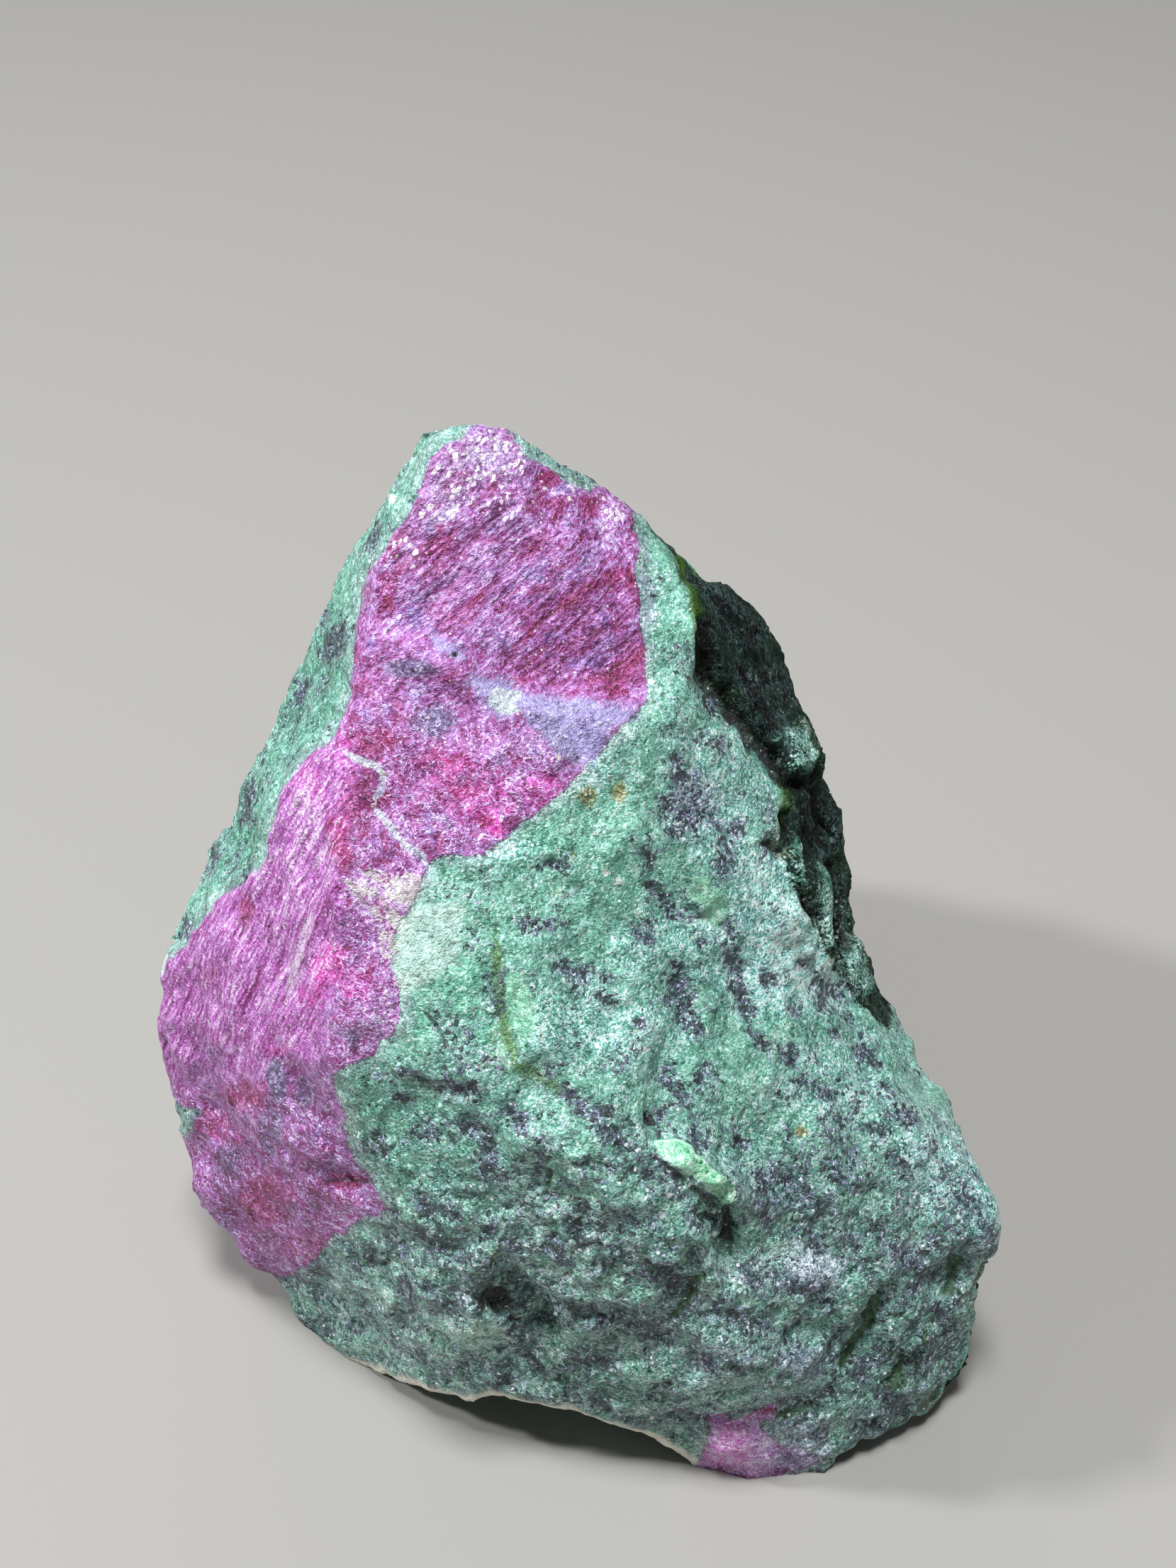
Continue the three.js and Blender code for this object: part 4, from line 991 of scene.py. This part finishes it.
# Textures that the minerals share, in millimetres.
place = tree.vector("SCALE", tree.node("ShaderNodeTexCoord").outputs["Object"], Scale=1 / MM)
swirl = tree.node("ShaderNodeTexNoise", Vector=place, Scale=1 / 0.45, Detail=1.0).outputs["Color"]
swirled = tree.vector("ADD", place, tree.vector("SCALE", tree.centred(swirl), Scale=0.30))
grain_gap, grain_colour = tree.cells(swirled, GRAIN)
grain = tree.parts(grain_colour)
flake_gap, flake_colour = tree.cells(tree.stretched(swirled, STRIA, 1.6), FLAKE)
small_glint_gap, small_glint_colour = tree.cells(place, SMALL_GLINT)
large_glint_gap, large_glint_colour = tree.cells(place, LARGE_GLINT)
fine = tree.noise(place, 0.17, 2.0, 0.7)
medium = tree.noise(place, 1.1, 3.0, 0.6)
broad = tree.noise(place, 4.5, 3.0, 0.6)
web_noise = tree.noise(swirled, 0.32, 1.0, 0.5)
web = tree.fall(abs(web_noise - 0.5), 0.015, 0.06)
curl = tree.fall(abs(tree.noise(place, 0.75, 1.0, 0.5, 1.1) - 0.5), 0.01, 0.045)
# Needles lie side by side in small bundles, each bundle its own way.
lie = tree.vector("NORMALIZE", tree.centred(tree.cells(swirled, BUNDLE)[1]))
needle = tree.ramp(tree.noise(tree.stretched(place, lie, 6), 0.13, 1.0), 0.54, 0.66)
# Painted glints: a few cells of each size, coloured near white as flashes of light.
painted_small_glint = tree.fall(small_glint_gap, 0.12, 0.30) * tree.ramp(tree.parts(small_glint_colour)[0], 0.80, 0.88)
painted_large_glint = tree.fall(large_glint_gap, 0.13, 0.20) * tree.ramp(tree.parts(large_glint_colour)[0], 0.6, 0.7)
ragged = (medium - 0.5) * 0.8 + ((grain[1] - 0.5) * 0.30 + (fine - 0.5) * 1.2)


def weighed(start, *terms):
    """A sum: a start, and each texture's distance from its middle times a weight."""
    for texture, weight in terms:
        start = start + (texture - 0.5) * weight
    return start


def patchy(level):
    """A soft patch's share, with a ragged, grainy border."""
    return tree.ramp(level + ragged * 0.9 * tree.ramp(level, 0.02, 0.3), 0.10, 0.85)


def within(gap, soft, wander):
    """1 inside an outline and 0 outside, with a border that wanders through the grains."""
    return tree.fall(gap + ragged * wander, -soft, soft)


def on_line(offset, half_width, soft, wander=4.0):
    """1 on a line and 0 beside it, where the line wanders a little."""
    return tree.fall(abs(offset + (medium - 0.5) * wander), half_width - soft, half_width + soft)


def blended(share, first, second):
    """The first where the share is 0, the second where it is 1."""
    return first * (1.0 - share) + second * share


# Zoisite: a sugary green, mottled light and dark, under a web of pale cleavage edges.
value = weighed(0.45, (fine, 1.05), (grain[0], 0.26), (medium, 0.7), (broad, 0.45))
# Painted shade: the side beyond the brow is darker, and its glints and gloss are less.
is_shaded_side = within(shaded_side_gap, 3.0, 10.0)
is_icy = patchy(icy)
# The darker green patches are partly painted shade.
green_value = value + patchy(light) * 0.14 - patchy(dark) * 0.15 + web * 0.12 + curl * 0.06 + needle * 0.26
green_value = green_value - is_shaded_side * 0.22 + is_icy * 0.18 + is_icy * needle * 0.36
green_value = green_value + is_icy * (fine - 0.5) * 0.9 + low * (fine - 0.46) * 1.1
strand = tree.ramp(tree.noise(tree.stretched(swirled, SIDE_FIBRE, 7), 0.4, 2.0, 0.6), 0.54, 0.70)
green = tree.layered(
    tree.tones(green_value, "zoisite"),
    (low * tree.ramp(medium, 0.36, 0.62) * 0.38, green_value, "grey green"),
    (is_icy * 0.8, green_value, "icy"),
    (patchy(vivid) * 0.8, green_value, "vivid"),
    (patchy(violet) * 0.75, green_value, "violet"),
    (patchy(olive) * 0.85, green_value, "olive"),
    (is_shaded_side * 0.92, green_value, "shaded steep side"),
    (strand * is_shaded_side * 0.5, green_value, "shaded side strand"),
    (on_line(olive_gap, 8, 6, 10.0) * 0.8, value, "olive line"),
    (tree.fall(ruby_gap, 0.1, 1.3) * 0.5, green_value, "ruby halo"),
    (tree.ramp(horn_level, 0.2, 0.6) * 0.35, green_value, "dusty"),
)

# Hornblende: clusters of near-black grains with violet grains and painted white glints among them, painted
# darker still as shade on the shaded side.
horn_value = weighed(0.31, (fine, 2.4), (grain[2], 0.6)) + needle * 0.2 - is_shaded_side * 0.2 + violet * 0.2
horn = tree.layered(tree.tones(horn_value, "hornblende"), (is_shaded_side * 0.9, horn_value, "shaded side hornblende"))
horn_edge = weighed(horn_level, (fine, 1.6), (grain[1], 0.6), (medium, 0.5), (web_noise, 0.6))
horn_edge = horn_edge - violet * 0.12 + low * (fine - 0.5) * 1.4

# The green rock: the two minerals, and the marks on them.
pale_rib_and_painted_light_edge = weighed(pale_rib_and_painted_light, (medium, 0.9), (fine, 1.2), (grain[1], 0.5))
cleft_painted_shade_edge = weighed(cleft_painted_shade, (medium, 0.7), (fine, 0.6))
mint_value = weighed(0.5, (fine, 0.3), (medium, 0.4), (grain[0], 0.05))
lens_value = weighed(0.5, (fine, 1.5), (medium, 1.5), (grain[0], 0.4)) + tree.ramp(lens_gap, -6.0, -1.0) * 0.2
share_of_painted_glint = 0.3 + tree.math("MAXIMUM", is_icy, low) * 0.65 - is_shaded_side * 0.25
rock = tree.layered(
    tree.mix(tree.ramp(horn_edge, 0.53, 0.67) * 0.92, green, horn),
    # Pale ribs, partly painted light; then painted shade in the grooves, pits and clefts.
    (tree.ramp(pale_rib_and_painted_light_edge, 0.34, 0.7) * (0.12 + is_shaded_side * 0.6), green_value, "rib"),
    (tree.ramp(groove_painted_shade, 0.25, 0.7) * 0.85, value, "groove"),
    (tree.ramp(pit_painted_shade + ragged * 0.9, 0.25, 0.6) * 0.92, value, "pit"),
    (tree.ramp(cleft_painted_shade_edge, 0.4, 0.7) * 0.8, value, "cleft"),
    (within(mint_gap, 8.0, 16.0), mint_value, "mint"),
    (within(plate_gap, 2.0, 9.0) * 0.55, value, "plate"),
    (within(lens_gap, 1.5, 4.0), lens_value, "lens"),
    (crushed * 0.92, value, "crushed edge"),
    (painted_small_glint * (0.9 - is_shaded_side * 0.75), value, "painted small glint on rock"),
    (painted_large_glint * share_of_painted_glint, value, "painted large glint on rock"),
)

# Ruby: rose to crimson, streaked along its cleavage, under a web of pale edges.
sugary = weighed(0.45, (tree.noise(swirled, 0.36, 2.0, 0.6, 0.5), 0.6)) + needle * 0.22 + curl * 0.16
stria = tree.noise(tree.stretched(swirled, STRIA, 5), 0.24, 2.0, 0.6)
fibre = tree.noise(tree.stretched(swirled, FIBRE, 12), 0.2, 2.0, 0.6)
streak = blended(is_left, blended(is_striped, sugary, stria), fibre)
wide_mottle = tree.noise(place, 0.8, 2.0, 0.6)
wide_stria = tree.noise(tree.stretched(place, STRIA, 4), 1.2, 2.0, 0.6)
wide_fibre = tree.noise(tree.stretched(place, FIBRE, 8), 0.8, 2.0, 0.6)
wide_streak = blended(is_left, blended(is_striped, wide_mottle, wide_stria), wide_fibre)
is_deep = patchy(deep)
ruby_value = weighed(0.44, (streak, 1.45), (fine, 0.85), (wide_streak, 0.75), (broad, 0.4))
ruby_value = ruby_value + is_left * (fibre - 0.42) * 0.4 + patchy(pale) * 0.22 - is_deep * 0.14
# Painted shade darkens the ruby on its lower and turned-away faces.
ruby_value = ruby_value + web * 0.12 + curl * 0.12 - ruby_painted_shade * 0.15
violet_value = weighed(0.5, (medium, 1.0), (fine, 0.6), (wide_streak, 1.0))
is_red_streak = tree.fall(wide_streak, 0.34, 0.44)
is_flake = tree.math("GREATER_THAN", tree.parts(flake_colour)[0], 1.0 - frost * 0.55)
fray_noise = tree.noise(tree.stretched(swirled, FRAY, 4), 0.36, 2.0, 0.6)
fray_noise = weighed(0.0, (fray_noise, 3.0), (medium, 1.2), (fine, 0.5))
fray_edge = fray + fray_noise * tree.ramp(fray, 0.02, 0.3) * 0.9 - web * 0.22 - needle * 0.18
fray_edge = fray_edge + curl * tree.ramp(fray, 0.02, 0.4) * 0.3
is_frayed = tree.ramp(fray_edge, 0.34, 0.74) * 0.82
vein_width = weighed(4.6, (tree.noise(place, 0.9, 2.0, 0.6), 14.0), (fine, 6.0), (grain[1], 2.0))
rose = tree.layered(
    tree.tones(ruby_value, "rose"),
    (tree.ramp(violet_value, 0.52, 0.8), ruby_value, "violet rose"),
    (is_left, ruby_value, "orchid"),
    (patchy(hot) * 0.9, ruby_value, "fuchsia"),
    (is_red_streak * (0.45 - is_left * 0.3), ruby_value, "crimson"),
    (is_deep * 0.75, ruby_value, "crimson"),
    (patchy(grey) * 0.85, ruby_value, "dusk"),
    (frost * 0.6, ruby_value, "frost"),
    (is_flake * tree.fall(flake_gap, 0.44, 0.58) * 0.88, value, "flake"),
    (is_frayed, value, "frayed"),
    (on_line(stripe_gap, 6, 5) * 0.8, ruby_value, "stripe"),
    (tree.fall(abs(vein_gap) - vein_width, -2.0, 1.5) * 0.92, value, "vein"),
    (painted_small_glint * 0.9, value, "painted small glint on ruby"),
)

# The whole surface: the rock, the ruby in it, and what crosses both.
is_ruby_here = tree.fall(ruby_gap + ragged * 0.5, -0.10, 0.10)
surface = tree.layered(
    tree.mix(is_ruby_here, rock, rose),
    (is_frayed * tree.ramp(ruby_gap, 0.2, 0.9, 0.7, 0.0), value, "frayed edge"),
    (within(lilac_gap, 7.0, 26.0) * 0.85, value, "lilac"),
    (within(white_gap, 1.5, 6.0), value, "white"),
    # Painted shade along the cracks.
    (on_line(crack_shade_gap, 2.4, 2.0) * 0.7, value, "crack"),
    (tree.ramp(white_spot, 0.3, 0.7), value, "white spot"),
    (tree.ramp(black_spot, 0.3, 0.7), value, "black spot"),
)

# Each grain breaks on its own cleavage plane, so its normal leans its own way.
height = weighed(0.0, (fine, 0.8), (medium, 1.2), (web, 0.25)) - grain_gap * 0.5
height = height + streak * (is_ruby_here * 1.2)
bump = tree.node("ShaderNodeBump", Strength=0.9, Distance=BUMP_HEIGHT, Height=height).outputs[0]
grain_lean = tree.vector("SCALE", tree.centred(grain_colour), Scale=0.48)
flake_lean = tree.vector("SCALE", tree.centred(flake_colour), Scale=0.30)
leaning = tree.vector("ADD", tree.vector("ADD", bump, grain_lean), flake_lean)

mesh.materials.append(tree.finished(
    Base_Color=surface,
    Roughness=tree.ramp(grain[2], 0.55, 1.0, 0.62, 0.24) + is_shaded_side * 0.3,
    Normal=tree.vector("NORMALIZE", leaning),
    IOR=STONE_IOR,
    Specular_IOR_Level=0.55 - is_shaded_side * 0.45,
))

# ---- Floor, light and camera ----

FLOOR_HALF = 1.5
FLOOR_Z = -0.00002
floor_tree = MaterialTree("pale_floor")
floor_mesh = bpy.data.meshes.new("floor")
floor_corners = [(x * FLOOR_HALF, y * FLOOR_HALF, FLOOR_Z) for x, y in ((-1, -1), (1, -1), (1, 1), (-1, 1))]
floor_mesh.from_pydata(floor_corners, [], [(0, 1, 2, 3)])
floor_colour = floor_tree.tones(None, "pale floor")
floor_mesh.materials.append(floor_tree.finished(Base_Color=floor_colour, Roughness=0.8))
floor = bpy.data.objects.new("floor", floor_mesh)
bpy.context.scene.collection.objects.link(floor)


LIT_POINT = Vector((0, 0, 0.025))
WORLD_COLOUR = (1.0, 0.98, 0.93, 1)
WORLD_STRENGTH = 0.16


def area_light(name, at, size, power):
    """A square soft light at a place, turned towards the stone."""
    data = bpy.data.lights.new(name, "AREA")
    data.size = size
    data.energy = power
    light = bpy.data.objects.new(name, data)
    light.location = at
    light.rotation_mode = "QUATERNION"
    light.rotation_quaternion = (LIT_POINT - Vector(at)).to_track_quat("-Z", "Y")
    bpy.context.scene.collection.objects.link(light)


area_light("key", at=(-0.46, -0.06, 0.48), size=0.05, power=2.8)
area_light("fill", at=(-0.02, -0.16, 0.71), size=0.14, power=6.2)
area_light("back_fill", at=(-0.10, 0.60, 0.45), size=0.45, power=0.7)

world = bpy.data.worlds.new("studio")
world.use_nodes = True
background = world.node_tree.nodes["Background"]
background.inputs["Color"].default_value = WORLD_COLOUR
background.inputs["Strength"].default_value = WORLD_STRENGTH
bpy.context.scene.world = world
bpy.context.scene.view_settings.view_transform = "Standard"

camera_data = bpy.data.cameras.new("camera")
camera_data.sensor_width = SENSOR_MM
camera_data.lens = SENSOR_MM / 2 / math.tan(VIEW_ANGLE / 2)
camera_data.clip_start = 0.005
camera_data.clip_end = 10
camera = bpy.data.objects.new("camera", camera_data)
camera.location = CAMERA_AT * MM
camera.rotation_euler = (math.pi / 2 - CAMERA_DIP, 0, 0)
bpy.context.scene.collection.objects.link(camera)
bpy.context.scene.camera = camera
